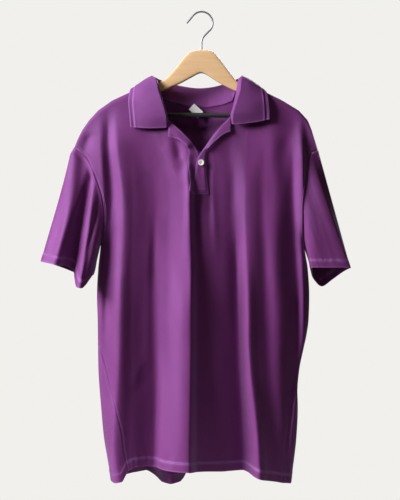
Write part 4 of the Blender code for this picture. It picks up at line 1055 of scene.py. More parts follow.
def shell(name, grid, normals, wall, closed, material, marks=None):
    """Closed thin wall under a grid of outer points, with the cloth's own
    measures as its UV map. wall is one number or one for each point, and
    marks says how worn each point is."""
    rows, columns = grid.shape[:2]
    wall = np.broadcast_to(np.asarray(wall, float), (rows, columns))
    inner = grid - normals * wall[:, :, None]
    points = np.vstack((grid.reshape(-1, 3), inner.reshape(-1, 3))) * MM
    mesh = bpy.data.meshes.new(name)
    mesh.from_pydata(points.tolist(), [], wall_faces(rows, columns, closed).tolist())
    obj = new_object(name, mesh)
    run_across = lengths_along(grid, 1)
    run_across = run_across - run_across[:, columns // 2:columns // 2 + 1]
    run_down = lengths_along(grid, 0)
    flat = np.stack((run_across, -run_down), axis=-1).reshape(-1, 2) * MM
    layer = mesh.uv_layers.new(name="cloth")
    corners = np.zeros(len(mesh.loops), np.int32)
    mesh.loops.foreach_get("vertex_index", corners)
    layer.data.foreach_set("uv", flat[corners % len(flat)].astype(np.float32).ravel())
    worn = np.zeros((rows, columns)) if marks is None else marks
    attribute = mesh.attributes.new("worn", "FLOAT", "POINT")
    attribute.data.foreach_set("value", np.tile(worn.ravel(), 2).astype(np.float32))
    mesh.materials.append(material)
    faces_out(mesh)
    mesh.shade_smooth()
    mesh.set_sharp_from_angle(angle=math.radians(SHARP_EDGE))
    return obj


def faces_out(mesh):
    """Turn every face outwards."""
    bm = bmesh.new()
    bm.from_mesh(mesh)
    bmesh.ops.recalc_face_normals(bm, faces=bm.faces)
    bm.to_mesh(mesh)
    bm.free()


SEAM_LIKENESS = 0.8    # normals further apart than this keep their own way


def match_seams(grids, normals):
    """Give points that panels share one normal between them, but for the
    underarm, where the sleeve's cloth faces the body's."""
    sums = {}
    for name, grid in grids.items():
        keys = [tuple(k) for k in np.round(grid.reshape(-1, 3), 3)]
        for key, normal in zip(keys, normals[name].reshape(-1, 3)):
            sums[key] = sums.get(key, np.zeros(3)) + normal
    for name, grid in grids.items():
        flat = normals[name].reshape(-1, 3)
        for i, key in enumerate(map(tuple, np.round(grid.reshape(-1, 3), 3))):
            total = sums[key]
            length = np.linalg.norm(total)
            if float(total @ flat[i]) > SEAM_LIKENESS * length:
                flat[i] = total / length


MOST_PULL = 0.45       # most of its cell's length that an edge is shortened by


def pull_back(grid, gap, edges):
    """Shorten a grid by the gap at the named edges."""
    made = grid.copy()
    for edge in edges:
        if edge == "first row":
            own, near = made[0], grid[1]
        elif edge == "first column":
            own, near = made[:, 0], grid[:, 1]
        else:
            own, near = made[:, -1], grid[:, -2]
        way = near - own
        length = np.linalg.norm(way, axis=1, keepdims=True)
        own += way / np.maximum(length, 1e-9) * np.minimum(gap, length * MOST_PULL)
    return made


def seam_relief(distance):
    """Height beside a sewn seam: a groove at it, then the allowance's ridge."""
    return 0.35 * bell(distance - 5.0, 2.6) - 0.55 * bell(distance, 1.3)


def needle_rows(distance, band):
    """1 along both rows of stitches of a hem, falling off beside them."""
    return sum(bell(distance - band + k * NEEDLE_GAP + NEEDLE_INSET, NEEDLE_DIP) for k in (0, 1))


HEM_RISE = 0.7         # how much the turned-up cloth stands proud


def hem_relief(distance, band, ripple):
    """Height over a turned-up hem: thicker cloth, and a dip at the needles."""
    thick = HEM_RISE * smooth((band + 1.5 - distance) / 2.5)
    dips = HEM_RISE * needle_rows(distance, band)
    return thick - dips + ripple * smooth((band + 16.0 - distance) / 18.0)


# ------------------------------------------------------------------ finishes
def add_node(tree, kind, **settings):
    """Add a shader node; the settings are the node's own properties."""
    made = tree.nodes.new(kind)
    for name, value in settings.items():
        setattr(made, name, value)
    return made


def plug(tree, slot, value):
    """Give an input a number, a colour, or a link from another node."""
    if isinstance(value, (int, float)):
        slot.default_value = value
    elif isinstance(value, tuple):
        slot.default_value = (*value, 1.0)
    else:
        tree.links.new(value, slot)


def object_place(tree):
    """Place on the object, for patterns that stay on it."""
    return add_node(tree, "ShaderNodeTexCoord").outputs["Object"]


def stretched_place(tree, scale):
    """The same, scaled along each axis for a grain."""
    made = add_node(tree, "ShaderNodeMapping")
    made.inputs["Scale"].default_value = scale
    tree.links.new(object_place(tree), made.inputs["Vector"])
    return made.outputs[0]


def cloth_place(tree):
    """Place on the cloth in metres, as a vector and as its two numbers."""
    place = add_node(tree, "ShaderNodeUVMap", uv_map="cloth").outputs[0]
    parts = add_node(tree, "ShaderNodeSeparateXYZ")
    tree.links.new(place, parts.inputs[0])
    return place, parts.outputs[0], parts.outputs[1]


def math_node(tree, operation, *values):
    """Math node over sockets or plain numbers; returns its output."""
    made = add_node(tree, "ShaderNodeMath", operation=operation)
    for slot, value in zip(made.inputs, values):
        plug(tree, slot, value)
    return made.outputs[0]


def blend_colour(tree, factor, first, second, kind="MIX"):
    """Mix two colours, each a socket or three numbers; returns the output."""
    made = add_node(tree, "ShaderNodeMix", data_type="RGBA", blend_type=kind)
    for slot, value in zip((made.inputs[0], made.inputs[6], made.inputs[7]),
                           (factor, first, second)):
        plug(tree, slot, value)
    return made.outputs[2]


def noise_value(tree, vector, scale, detail=2.0, roughness=0.5):
    """Noise read at a vector; returns the value."""
    made = add_node(tree, "ShaderNodeTexNoise")
    made.inputs["Scale"].default_value = scale
    made.inputs["Detail"].default_value = detail
    made.inputs["Roughness"].default_value = roughness
    tree.links.new(vector, made.inputs["Vector"])
    return made.outputs[0]


def new_group(name, inputs, outputs):
    """Empty shader group with named sockets; returns it and its two ends."""
    group = bpy.data.node_groups.new(name, "ShaderNodeTree")
    for label, kind, value in inputs:
        made = group.interface.new_socket(label, in_out="INPUT", socket_type=kind)
        made.default_value = value
    for label, kind in outputs:
        group.interface.new_socket(label, in_out="OUTPUT", socket_type=kind)
    return group, group.nodes.new("NodeGroupInput"), group.nodes.new("NodeGroupOutput")


def pique_group():
    """Pique knit: rows of small diamond cells with painted shade in their hollows, uneven yarn and
    wear.
    """
    group, start, end = new_group(
        "pique knit",
        (("Colour", "NodeSocketColor", (1, 1, 1, 1)),
         ("Worn Colour", "NodeSocketColor", (1, 1, 1, 1)),
         ("Cells per Metre", "NodeSocketFloat", 600.0), ("Rib", "NodeSocketFloat", 0.0)),
        (("Colour", "NodeSocketColor"), ("Height", "NodeSocketFloat"),
         ("Roughness", "NodeSocketFloat")))
    place, across, down = cloth_place(group)
    turn = math_node(group, "MULTIPLY", start.outputs["Cells per Metre"], math.pi)
    u = math_node(group, "MULTIPLY", across, turn)
    v = math_node(group, "MULTIPLY", down, turn)
    rise = math_node(group, "SINE", math_node(group, "ADD", u, v))
    fall = math_node(group, "SINE", math_node(group, "SUBTRACT", u, v))
    cells = math_node(group, "ABSOLUTE", math_node(group, "MULTIPLY", rise, fall))
    ribs = math_node(group, "MULTIPLY", math_node(group, "SINE", u), start.outputs["Rib"])
    yarn = noise_value(group, place, 900.0, 3.0, 0.6)
    height = math_node(group, "ADD", math_node(group, "ADD", cells, ribs),
                       math_node(group, "MULTIPLY", yarn, 0.6))
    # Colour: a cloudy random tone, times painted shade that darkens the hollows of the same cells
    # that make the relief.
    cloud = noise_value(group, place, 14.0, 3.0, 0.55)
    shade = math_node(group, "MULTIPLY", math_node(group, "MULTIPLY_ADD", cloud, 0.30, 0.84),
                      math_node(group, "MULTIPLY_ADD", cells, 0.22, 0.90))
    grey = add_node(group, "ShaderNodeCombineColor")
    for slot in grey.inputs[:3]:
        group.links.new(shade, slot)
    tinted = blend_colour(group, 1.0, start.outputs["Colour"], grey.outputs[0], "MULTIPLY")
    worn = add_node(group, "ShaderNodeAttribute", attribute_name="worn")
    share = math_node(group, "MULTIPLY", worn.outputs["Fac"], yarn)
    plug(group, end.inputs["Colour"],
         blend_colour(group, share, tinted, start.outputs["Worn Colour"]))
    plug(group, end.inputs["Height"], height)
    plug(group, end.inputs["Roughness"], math_node(group, "MULTIPLY_ADD", yarn, 0.12, 0.46))
    return group


def start_material(name, rough=None):
    """New material with only its shader; returns the material, tree, shader."""
    material = bpy.data.materials.new(name)
    material.use_nodes = True
    tree = material.node_tree
    shader = tree.nodes["Principled BSDF"]
    if rough is not None:
        shader.inputs["Roughness"].default_value = rough
    return material, tree, shader


def colour_between(tree, shader, share, first, second):
    """Base colour that changes between two with a share over the surface."""
    plug(tree, shader.inputs["Base Color"], blend_colour(tree, share, first, second))


def rough_with(tree, shader, value, change, least):
    """Roughness that rises with a value over the surface."""
    plug(tree, shader.inputs["Roughness"], math_node(tree, "MULTIPLY_ADD", value, change, least))


def add_bump(tree, shader, height, strength, distance):
    """Bump from a height socket into the shader's normal."""
    made = add_node(tree, "ShaderNodeBump")
    made.inputs["Strength"].default_value = strength
    made.inputs["Distance"].default_value = distance
    tree.links.new(height, made.inputs["Height"])
    tree.links.new(made.outputs[0], shader.inputs["Normal"])


def knit_material(name, group, colour, cells, rib, strength):
    """Purple knit with its own cell size."""
    material, tree, shader = start_material(name)
    knit = add_node(tree, "ShaderNodeGroup", node_tree=group)
    knit.inputs["Colour"].default_value = (*colour, 1.0)
    knit.inputs["Worn Colour"].default_value = (*FADED, 1.0)
    knit.inputs["Cells per Metre"].default_value = cells
    knit.inputs["Rib"].default_value = rib
    tree.links.new(knit.outputs["Colour"], shader.inputs["Base Color"])
    tree.links.new(knit.outputs["Roughness"], shader.inputs["Roughness"])
    add_bump(tree, shader, knit.outputs["Height"], strength, 0.0004)
    shader.inputs["Sheen Weight"].default_value = 0.42
    shader.inputs["Sheen Roughness"].default_value = 0.45
    shader.inputs["Sheen Tint"].default_value = (0.80, 0.56, 1.0, 1.0)
    shader.inputs["Specular IOR Level"].default_value = 0.55
    shader.inputs["Specular Tint"].default_value = (0.66, 0.44, 1.0, 1.0)
    return material


def thread_material():
    """Twisted polyester sewing thread, a little brighter than the cloth."""
    material, tree, shader = start_material("sewing thread", 0.45)
    place = object_place(tree)
    twist = add_node(tree, "ShaderNodeTexWave")
    twist.inputs["Scale"].default_value = 900.0
    tree.links.new(place, twist.inputs["Vector"])
    colour_between(tree, shader, noise_value(tree, place, 40.0),
                   (0.24, 0.080, 0.29), (0.36, 0.150, 0.44))
    add_bump(tree, shader, twist.outputs[1], 0.5, 0.0001)
    return material


def wood_material():
    """Pale varnished wood with long grain and small pores."""
    material, tree, shader = start_material("varnished wood")
    grain = stretched_place(tree, (4.0, 60.0, 60.0))
    rings = noise_value(tree, grain, 2.4, 5.0, 0.6)
    pores = noise_value(tree, grain, 22.0, 2.0, 0.7)
    ramp = add_node(tree, "ShaderNodeValToRGB")
    for stop, place_on, colour in zip(ramp.color_ramp.elements, (0.30, 0.72),
                                      ((0.68, 0.42, 0.205), (0.75, 0.52, 0.30))):
        stop.position = place_on
        stop.color = (*colour, 1.0)
    tree.links.new(rings, ramp.inputs[0])
    colour_between(tree, shader, math_node(tree, "MULTIPLY_ADD", pores, 0.4, -0.10),
                   ramp.outputs[0], (0.52, 0.29, 0.125))
    rough_with(tree, shader, pores, 0.25, 0.28)
    add_bump(tree, shader, pores, 0.06, 0.0003)
    shader.inputs["Coat Weight"].default_value = 0.35
    shader.inputs["Coat Roughness"].default_value = 0.18
    return material


def steel_material():
    """Satin drawn steel wire with fine marks."""
    material, tree, shader = start_material("bright steel wire")
    place = object_place(tree)
    marks = noise_value(tree, place, 260.0, 2.0, 0.5)
    colour_between(tree, shader, noise_value(tree, place, 60.0),
                   (0.22, 0.22, 0.23), (0.38, 0.38, 0.39))
    rough_with(tree, shader, marks, 0.18, 0.40)
    add_bump(tree, shader, marks, 0.02, 0.0001)
    shader.inputs["Metallic"].default_value = 1.0
    return material


def bar_material():
    """Dark lacquered bar with a faint drag of the brush."""
    material, tree, shader = start_material("dark lacquer")
    streaks = noise_value(tree, stretched_place(tree, (12.0, 300.0, 300.0)), 2.0, 3.0)
    colour_between(tree, shader, streaks, (0.012, 0.015, 0.013), (0.035, 0.042, 0.036))
    rough_with(tree, shader, streaks, 0.3, 0.22)
    add_bump(tree, shader, streaks, 0.1, 0.0003)
    return material


def button_material():
    """Milky cast resin with a pearly cloud in it."""
    material, tree, shader = start_material("milky button resin")
    cloud = noise_value(tree, object_place(tree), 260.0, 3.0, 0.6)
    colour_between(tree, shader, cloud, (0.70, 0.66, 0.60), (0.90, 0.88, 0.85))
    rough_with(tree, shader, cloud, 0.15, 0.22)
    shader.inputs["Subsurface Weight"].default_value = 0.15
    shader.inputs["Subsurface Radius"].default_value = (0.002, 0.0015, 0.001)
    shader.inputs["Coat Weight"].default_value = 0.4
    return material


def label_material():
    """White woven tape: fine warp and weft."""
    material, tree, shader = start_material("white woven label", 0.7)
    place, across, down = cloth_place(tree)
    warp = math_node(tree, "SINE", math_node(tree, "MULTIPLY", across, 9000.0))
    weft = math_node(tree, "SINE", math_node(tree, "MULTIPLY", down, 7000.0))
    colour_between(tree, shader, noise_value(tree, place, 90.0),
                   (0.86, 0.85, 0.84), (0.96, 0.955, 0.95))
    add_bump(tree, shader, math_node(tree, "MULTIPLY", warp, weft), 0.3, 0.0001)
    return material


KNIT = pique_group()
FADED = (0.36, 0.15, 0.42)      # the knit where it is worn
# Knits: colour, cells per metre, depth of the ribs and strength of the relief.
MATERIALS = {
    "pique": knit_material("purple pique", KNIT, (0.134, 0.0190, 0.121), 620.0, 0.0, 0.45),
    "rib": knit_material("purple flat-knit collar", KNIT, (0.150, 0.0262, 0.147),
                         820.0, 0.8, 0.5),
    "tape": knit_material("purple placket cloth", KNIT, (0.147, 0.0255, 0.143),
                          700.0, 0.2, 0.35),
    "thread": thread_material(),
    "wood": wood_material(),
    "steel": steel_material(),
    "bar": bar_material(),
    "button": button_material(),
    "label": label_material(),
}


def place_piece(obj, nodes=()):
    """Hang a piece on the shirt's one body, and hide the solids that it stands for."""
    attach(obj, "root")
    if nodes:
        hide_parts(*nodes)
    return obj


# ------------------------------------------------------------------ stitches
STITCH_RADIUS = 0.42
STITCH_LENGTH = 2.5
STITCH_SPACE = 0.8
STITCH_FLATNESS = 0.8      # height of a stitch against its width
STITCH_STAND = 0.25        # how far it stands off the cloth, in radii
SHORTEST_STITCH = 0.3      # a stitch left shorter than this share is dropped


def stitch_pattern():
    """One stitch: a short round bead with pointed ends, along X."""
    bpy.ops.object.select_all(action="DESELECT")
    bpy.ops.mesh.primitive_uv_sphere_add(segments=6, ring_count=5, radius=1.0,
                                         rotation=(0.0, math.pi / 2, 0.0))
    obj = bpy.context.object
    bpy.ops.object.transform_apply(rotation=True)
    points = np.array([v.co for v in obj.data.vertices])
    faces = [tuple(p.vertices) for p in obj.data.polygons]
    bpy.data.objects.remove(obj, do_unlink=True)
    return points, faces


STITCH_POINTS, STITCH_FACES = stitch_pattern()


def one_stitch(places, normals, run, ends, length, radius):
    """Points of the stitch between two lengths along a line, or None where
    the line's end leaves too little of it."""
    first, last = (read_along(end, run, places) for end in ends)
    normal = read_along(ends.mean(), run, normals)
    way = last - first
    size = np.linalg.norm(way)
    if size < SHORTEST_STITCH * length:
        return None
    way = way / size
    normal = normal - way * float(normal @ way)
    normal /= np.linalg.norm(normal)
    side = np.cross(normal, way)
    shaped = (STITCH_POINTS[:, :1] * way * size / 2.0
              + STITCH_POINTS[:, 1:2] * side * radius
              + STITCH_POINTS[:, 2:3] * normal * radius * STITCH_FLATNESS)
    return shaped + (first + last) / 2.0 + normal * radius * STITCH_STAND


def stitched(name, lines, length=STITCH_LENGTH, gap=STITCH_SPACE, radius=STITCH_RADIUS):
    """Rows of stitches as one mesh. Each line is points and normals."""
    made = []
    for places, normals in lines:
        run = run_lengths(places)
        count = max(1, int(run[-1] / (length + gap)))
        for k in range(count):
            ends = (k + 0.5) * run[-1] / count + np.array((-0.5, 0.5)) * length
            made.append(one_stitch(places, normals, run, ends, length, radius))
    made = [points for points in made if points is not None]
    faces = [tuple(i + k * len(STITCH_POINTS) for i in face)
             for k in range(len(made)) for face in STITCH_FACES]
    mesh = bpy.data.meshes.new(name)
    mesh.from_pydata((np.vstack(made) * MM).tolist(), [], faces)
    obj = new_object(name, mesh)
    mesh.materials.append(MATERIALS["thread"])
    faces_out(mesh)
    mesh.shade_smooth()
    return place_piece(obj)


def edge_distance(grid, edge):
    """Length along the cloth of each point from an edge of its grid."""
    run = lengths_along(grid, 0 if edge.endswith("row") else 1)
    if edge == "last row":
        return run[-1:] - run
    if edge == "last column":
        return run[:, -1:] - run
    return run


def line_by(grid, normals, edge, distance):
    """Points and normals of the line that follows an edge at a distance."""
    away = edge_distance(grid, edge)
    if edge.endswith("column"):
        away, grid, normals = away.T, grid.swapaxes(0, 1), normals.swapaxes(0, 1)
    order = slice(None, None, -1) if edge.startswith("last") else slice(None)
    made = [[np.array([np.interp(distance, away[order, j], values[order, j, c])
                       for c in range(3)]) for j in range(grid.shape[1])]
            for values in (grid, normals)]
    return np.array(made[0]), np.array(made[1])


# ------------------------------------------------------------ the shirt's body
HEM_RIPPLE = 0.35      # height of the hem's uneven ripple
ARMHOLE_STITCH = 6.0      # from the armhole seam to its stitches


def make_body():
    """Front, back and sleeves; returns each one's outer points and normals."""
    front = front_grid()
    back = back_grid()
    grids = {"front": front, "back": back}
    grids["sleeve_right"] = sleeve_grid(
        "sleeve_right", front[:UNDER + 1, 0], back[:UNDER + 1, -1],
        SLEEVE_RIGHT_FRONT_HEM, SLEEVE_RIGHT_BACK_HEM)
    grids["sleeve_left"] = sleeve_grid(
        "sleeve_left", front[:UNDER + 1, -1], back[:UNDER + 1, 0],
        SLEEVE_LEFT_FRONT_HEM, SLEEVE_LEFT_BACK_HEM)
    normals = {}
    for name, grid in grids.items():
        normals[name] = grid_normals(grid, name.startswith("sleeve"))
        normals[name] *= -1.0 if name == "sleeve_left" else 1.0
    match_seams(grids, normals)
    rng = np.random.default_rng(21)
    made = {}
    for name, grid in grids.items():
        sleeve = name.startswith("sleeve")
        band = SLEEVE_BAND if sleeve else HEM_BAND
        to_hem = edge_distance(grid, "last row")
        ripple = HEM_RIPPLE * np.interp(np.arange(grid.shape[1]) / 3.0,
                                        np.arange(grid.shape[1]),
                                        rng.uniform(-1, 1, grid.shape[1]))
        relief = hem_relief(to_hem, band, ripple[None, :])
        seams = ["first row"] if sleeve else ["first row", "first column", "last column"]
        nearest = np.min([edge_distance(grid, edge) + np.zeros(grid.shape[:2])
                          for edge in seams], axis=0)
        relief = relief + seam_relief(nearest)
        outer = pull_back(grid + normals[name] * relief[:, :, None], SEAM_GAP, seams)
        wall = WALL + (HEM_WALL - WALL) * smooth((band + 1.0 - to_hem) / 2.0)
        worn = 0.7 * bell(to_hem, 1.5) + 0.12 * bell(nearest - 4.0, 2.0)
        worn = worn + 0.8 * needle_rows(to_hem, band)
        obj = shell("shirt_" + name, outer, normals[name], wall, sleeve,
                    MATERIALS["pique"], np.clip(worn, 0.0, 1.0))
        place_piece(obj, (name,))
        made[name] = (obj, outer, normals[name])
    return made


def sew_body(made):
    """Stitches along the hems, and beside the armholes on front and back."""
    rows = {}
    for name, (_, outer, normals) in made.items():
        sleeve = name.startswith("sleeve")
        band = SLEEVE_BAND if sleeve else HEM_BAND
        rows[name] = [line_by(outer, normals, "last row", band - offset)
                      for offset in (NEEDLE_INSET, NEEDLE_INSET + NEEDLE_GAP)]
        if sleeve:
            continue
        for edge in ("first column", "last column"):
            places, ways = line_by(outer, normals, edge, ARMHOLE_STITCH)
            rows[name].append((places[3:UNDER - 6], ways[3:UNDER - 6]))
    return {name: stitched(name + "_stitches", lines) for name, lines in rows.items()}


# -------------------------------------------------------------- collar, placket
def line_spans(grid, columns, rows):
    """Places for the uneven waves of a small piece, each column and row in
    its own part of the maps."""
    return np.meshgrid(np.linspace(*columns, grid.shape[1]), np.linspace(*rows, grid.shape[0]))


EDGE_LINE = 11.0       # from the leaf's edge to the raised line in it


def make_collar():
    """One-piece knitted collar with a raised line inside its edge."""
    grid = collar_grid()
    normals = grid_normals(grid, False)
    to_edge = edge_distance(grid, "last column")
    ends = np.minimum(edge_distance(grid, "first row"), edge_distance(grid, "last row"))
    relief = (0.6 * bell(to_edge - 1.5, 1.6) + 0.8 * bell(to_edge - EDGE_LINE, 1.5)
              - 0.9 * bell(to_edge - 7.5, 1.8))
    leaf = smooth((80.0 - to_edge) / 30.0)
    x, z = line_spans(grid, (-300, 300), (-900, -200))
    relief = relief * leaf + 0.5 * uneven(x, z, 160.0, 60.0, np.random.default_rng(31))
    edge = bell(to_edge, 2.0) + bell(ends, 2.0)
    worn = np.clip(0.8 * edge + 0.8 * bell(to_edge - EDGE_LINE, 1.6), 0.0, 1.0)
    outer = grid + normals * relief[:, :, None]
    obj = shell("shirt_collar", outer, normals, COLLAR_CLOTH, False, MATERIALS["rib"], worn)
    return place_piece(obj, ("collar",))


def make_placket(name, table, lifts):
    """Placket strip of doubled cloth, stitched down along its edges."""
    grid = placket_grid(table, lifts)
    normals = grid_normals(grid, False)
    normals = normals * np.sign(-normals[:, :, 1:2].mean())
    inset = np.min([edge_distance(grid, edge) + np.zeros(grid.shape[:2])
                    for edge in ("first column", "last column", "first row", "last row")], axis=0)
    relief = -0.35 * bell(inset - PLACKET_STITCH, 0.9) - 0.45 * bell(inset, 0.9)
    x, z = line_spans(grid, (-300, -250), (-900, -500))
    relief += 0.35 * uneven(x, z, 18.0, 30.0, np.random.default_rng(len(name)))
    worn = 0.6 * bell(inset, 1.2)
    outer = grid + normals * relief[:, :, None]
    obj = shell("shirt_" + name, outer, normals, PLACKET_CLOTH, False, MATERIALS["tape"], worn)
    place_piece(obj, (name,))
    return obj, outer, normals


def on_front(x, z, lift):
    """Point on the front at x, z, the lift off the cloth, and its normal."""
    reach = 3.0
    y = -float(body_depth(x, z, False)) - lift
    slope = float(body_depth(x + reach, z, False) - body_depth(x - reach, z, False))
    tilt = float(body_depth(x, z + reach, False) - body_depth(x, z - reach, False))
    out = np.array((-slope / (2.0 * reach), -1.0, -tilt / (2.0 * reach)))
    return np.array((x, y, z)), out / np.linalg.norm(out)


def front_line(start, end, lift):
    """Points and normals of a straight line over the front, from x, z to x, z."""
    length = math.hypot(end[0] - start[0], end[1] - start[1])
    shares = np.linspace(0.0, length, max(4, int(length / 2.0)))
    made = [on_front(np.interp(s, (0.0, length), (start[0], end[0])),
                     np.interp(s, (0.0, length), (start[1], end[1])), lift)
            for s in shares]
    return np.array([m[0] for m in made]), np.array([m[1] for m in made])


FOOT_SIDES = (-14.0, 10.0)     # x of the ends of the foot's rows of stitches
FOOT_ROWS = (-374.0, -386.0)   # their z


def sew_plackets(over, under):
    """Edge stitches of both plackets, and two rows across the foot."""
    made = []
    for name, (_, outer, normals) in (("over", over), ("under", under)):
        made.append(stitched("placket_" + name + "_stitches",
                             [line_by(outer, normals, edge, PLACKET_STITCH)
                              for edge in ("first column", "last column")]))
    left, right = FOOT_SIDES
    made.append(stitched("placket_foot_stitches",
                         [front_line((left, z), (right, z), OVER_LIFT[0] + 0.1)
                          for z in FOOT_ROWS]))
    return made


# ----------------------------------------------------------- hanger and buttons
def pick(obj):
    """Select one object alone and make it the active one."""
    bpy.ops.object.select_all(action="DESELECT")
    obj.select_set(True)
    bpy.context.view_layer.objects.active = obj


def apply_modifiers(obj):
    """Apply every modifier of a piece in turn."""
    pick(obj)
    for modifier in list(obj.modifiers):
        bpy.ops.object.modifier_apply(modifier=modifier.name)


def soften_edges(obj, width, angle):
    """Bevel the edges of a piece that are sharper than the angle."""
    soft = obj.modifiers.new("soft edge", "BEVEL")
    soft.width = width * MM
    soft.segments = 3
    soft.limit_method = "ANGLE"
    soft.angle_limit = math.radians(angle)
    apply_modifiers(obj)


def make_wood():
    """Wooden body, rounded from a merged copy of its solid."""
    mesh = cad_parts["hanger_body"].data.copy()
    mesh.name = "wooden_hanger"
    obj = new_object("wooden_hanger", mesh)
    pick(obj)
    bpy.ops.object.mode_set(mode="EDIT")
    bpy.ops.mesh.select_all(action="SELECT")
    bpy.ops.mesh.remove_doubles(threshold=0.00002)
    bpy.ops.mesh.tris_convert_to_quads(face_threshold=1.0, shape_threshold=1.0)
    bpy.ops.mesh.normals_make_consistent(inside=False)
    bpy.ops.object.mode_set(mode="OBJECT")
    rounding = obj.modifiers.new("rounding", "SUBSURF")
    rounding.levels = rounding.render_levels = 2
    apply_modifiers(obj)
    obj.data.materials.clear()
    obj.data.materials.append(MATERIALS["wood"])
    obj.data.shade_smooth()
    return place_piece(obj, ("hanger_body",))


def hook_path():
    """Points of the hook's wire, x and z: the tip, the arc, then the stem."""
    centre = np.array((0.0, WIRE_RADIUS - HOOK_RADIUS))
    angles = np.radians(np.linspace(HOOK_END_ANGLE, HOOK_START_ANGLE, 61))
    arc = centre + HOOK_RADIUS * np.stack((np.cos(angles), np.sin(angles)), axis=-1)
    way = np.array((-math.sin(angles[0]), math.cos(angles[0])))
    path = [arc[0] + way * HOOK_TIP_LENGTH * share for share in np.linspace(1.0, 0.0, 13)[:-1]]
    path.extend(arc)
    path.extend(spline([arc[-1]] + list(HOOK_STEM), 8)[1:])
    return path


def make_hook():
    """Steel wire hook with a rounded tip."""
    path = hook_path()
    curve = bpy.data.curves.new("steel_hook", "CURVE")
    curve.dimensions = "3D"
    line = curve.splines.new("POLY")
    line.points.add(len(path) - 1)
    for point, (x, z) in zip(line.points, path):
        point.co = (x * MM, 0.0, z * MM, 1.0)
    curve.bevel_depth = WIRE_RADIUS * MM
    curve.bevel_resolution = 4
    curve.use_fill_caps = True
    pick(new_object("steel_hook", curve))
    bpy.ops.object.convert(target="MESH")
    obj = bpy.context.object
    soften_edges(obj, 0.9, 60)
    faces_out(obj.data)
    obj.data.materials.append(MATERIALS["steel"])
    obj.data.shade_smooth()
    return place_piece(obj, ("hanger_hook",))


def make_bar():
    """Round trouser bar with softened ends."""
    (x0, z0), (x1, z1) = BAR_ENDS
    length = math.hypot(x1 - x0, z1 - z0)
    bpy.ops.object.select_all(action="DESELECT")
    bpy.ops.mesh.primitive_cylinder_add(
        vertices=32, radius=BAR_RADIUS * MM, depth=length * MM,
        location=((x0 + x1) / 2 * MM, 0.0, (z0 + z1) / 2 * MM),
        rotation=(0.0, math.pi / 2 - math.atan2(z1 - z0, x1 - x0), 0.0))
    obj = bpy.context.object
    obj.name = obj.data.name = "hanger_bar"
    bpy.ops.object.transform_apply(location=True, rotation=True)
    soften_edges(obj, 0.8, 30)
    obj.data.materials.append(MATERIALS["bar"])
    bpy.ops.object.shade_smooth_by_angle(angle=math.radians(40))
    return place_piece(obj, ("trouser_bar",))


RIM_WIDTH = 1.3        # the button's rim, and the slope and step inside it
RIM_SLOPE = 0.6
RIM_HEIGHT = 0.4
HOLE_RADIUS = 0.85
HOLE_PLACE = 2.1       # from the button's middle to each hole's
THREAD_LENGTH = 4.8    # of each of the two crossed threads
THREAD_SINK = 0.75     # how far they lie below the rim's top


def make_button_form():
    """Sewn-through button lying on its back in XY, with rim and four holes."""
    bpy.ops.object.select_all(action="DESELECT")
    bpy.ops.mesh.primitive_cylinder_add(vertices=48, radius=BUTTON_RADIUS * MM,
                                        depth=BUTTON_DEPTH * MM)
    obj = bpy.context.object
    bpy.ops.object.mode_set(mode="EDIT")
    bpy.ops.mesh.select_mode(type="FACE")
    bm = bmesh.from_edit_mesh(obj.data)
    for face in bm.faces:
        face.select_set(face.normal.z > 0.9)
    bmesh.update_edit_mesh(obj.data)
    bpy.ops.mesh.inset(thickness=RIM_WIDTH * MM, depth=0.0)
    bpy.ops.mesh.inset(thickness=RIM_SLOPE * MM, depth=-RIM_HEIGHT * MM)
    bpy.ops.object.mode_set(mode="OBJECT")
    soften_edges(obj, 0.4, 35)
    for k in range(4):
        turn = math.pi / 4 + k * math.pi / 2
        bpy.ops.mesh.primitive_cylinder_add(
            vertices=14, radius=HOLE_RADIUS * MM, depth=10.0 * MM,
            location=(HOLE_PLACE * math.cos(turn) * MM, HOLE_PLACE * math.sin(turn) * MM, 0.0))
        drill = bpy.context.object
        cut = obj.modifiers.new("hole", "BOOLEAN")
        cut.object = drill
        cut.operation = "DIFFERENCE"
        apply_modifiers(obj)
        bpy.data.objects.remove(drill, do_unlink=True)
    return obj


def side_and_up(out):
    """The level way and the upward way in the plane that faces out."""
    side = np.cross((0.0, 0.0, 1.0), out)
    side /= np.linalg.norm(side)
    return side, np.cross(out, side)


def place_on(obj, name, centre, out, turn):
    """Turn a form that lies in XY to face out at a centre, and name it."""
    side, up = side_and_up(out)
    c, s = math.cos(turn), math.sin(turn)
    axes = np.stack((side * c + up * s, up * c - side * s, out))
    points = np.array([v.co for v in obj.data.vertices]) @ axes + centre * MM
    obj.data.vertices.foreach_set("co", points.astype(np.float32).ravel())
    obj.name = obj.data.name = name
    obj.data.update()
    return obj


def make_buttons():
    """Both buttons, each with its crossed thread."""
    form = make_button_form()
    form.data.materials.append(MATERIALS["button"])
    pick(form)
    bpy.ops.object.shade_smooth_by_angle(angle=math.radians(35))
    spare = form.copy()
    spare.data = form.data.copy()
    bpy.context.scene.collection.objects.link(spare)
    for obj, node, (x, z), lift, turn in (
            (form, "button_lower", BUTTON_LOWER, OVER_LIFT[0] + 0.7, 0.3),
            (spare, "button_upper", BUTTON_UPPER, 0.7, 0.9)):
        centre, out = on_front(x, z, lift + BUTTON_DEPTH / 2)
        place_on(obj, "shirt_" + node, centre, out, turn)
        place_piece(obj, (node,))
        top = centre + out * (BUTTON_DEPTH / 2 - THREAD_SINK)
        side, up = side_and_up(out)
        lines = []
        for angle in (turn + math.pi / 4, turn + 3 * math.pi / 4):
            way = (side * math.cos(angle) + up * math.sin(angle)) * THREAD_LENGTH / 2
            lines.append((np.array((top - way, top + way)), np.array((out, out))))
        stitched(node + "_thread", lines, 4.4, 0.2)


LABEL_WALL = 0.35
# Curl of the label: outward in its middle, a wave across that grows downward,
# and a fold's ridge by each end, at this share of its width.
LABEL_BOW = 1.2
LABEL_WAVE = 0.5
LABEL_FOLD = 0.12
LABEL_FOLD_AT = 0.06


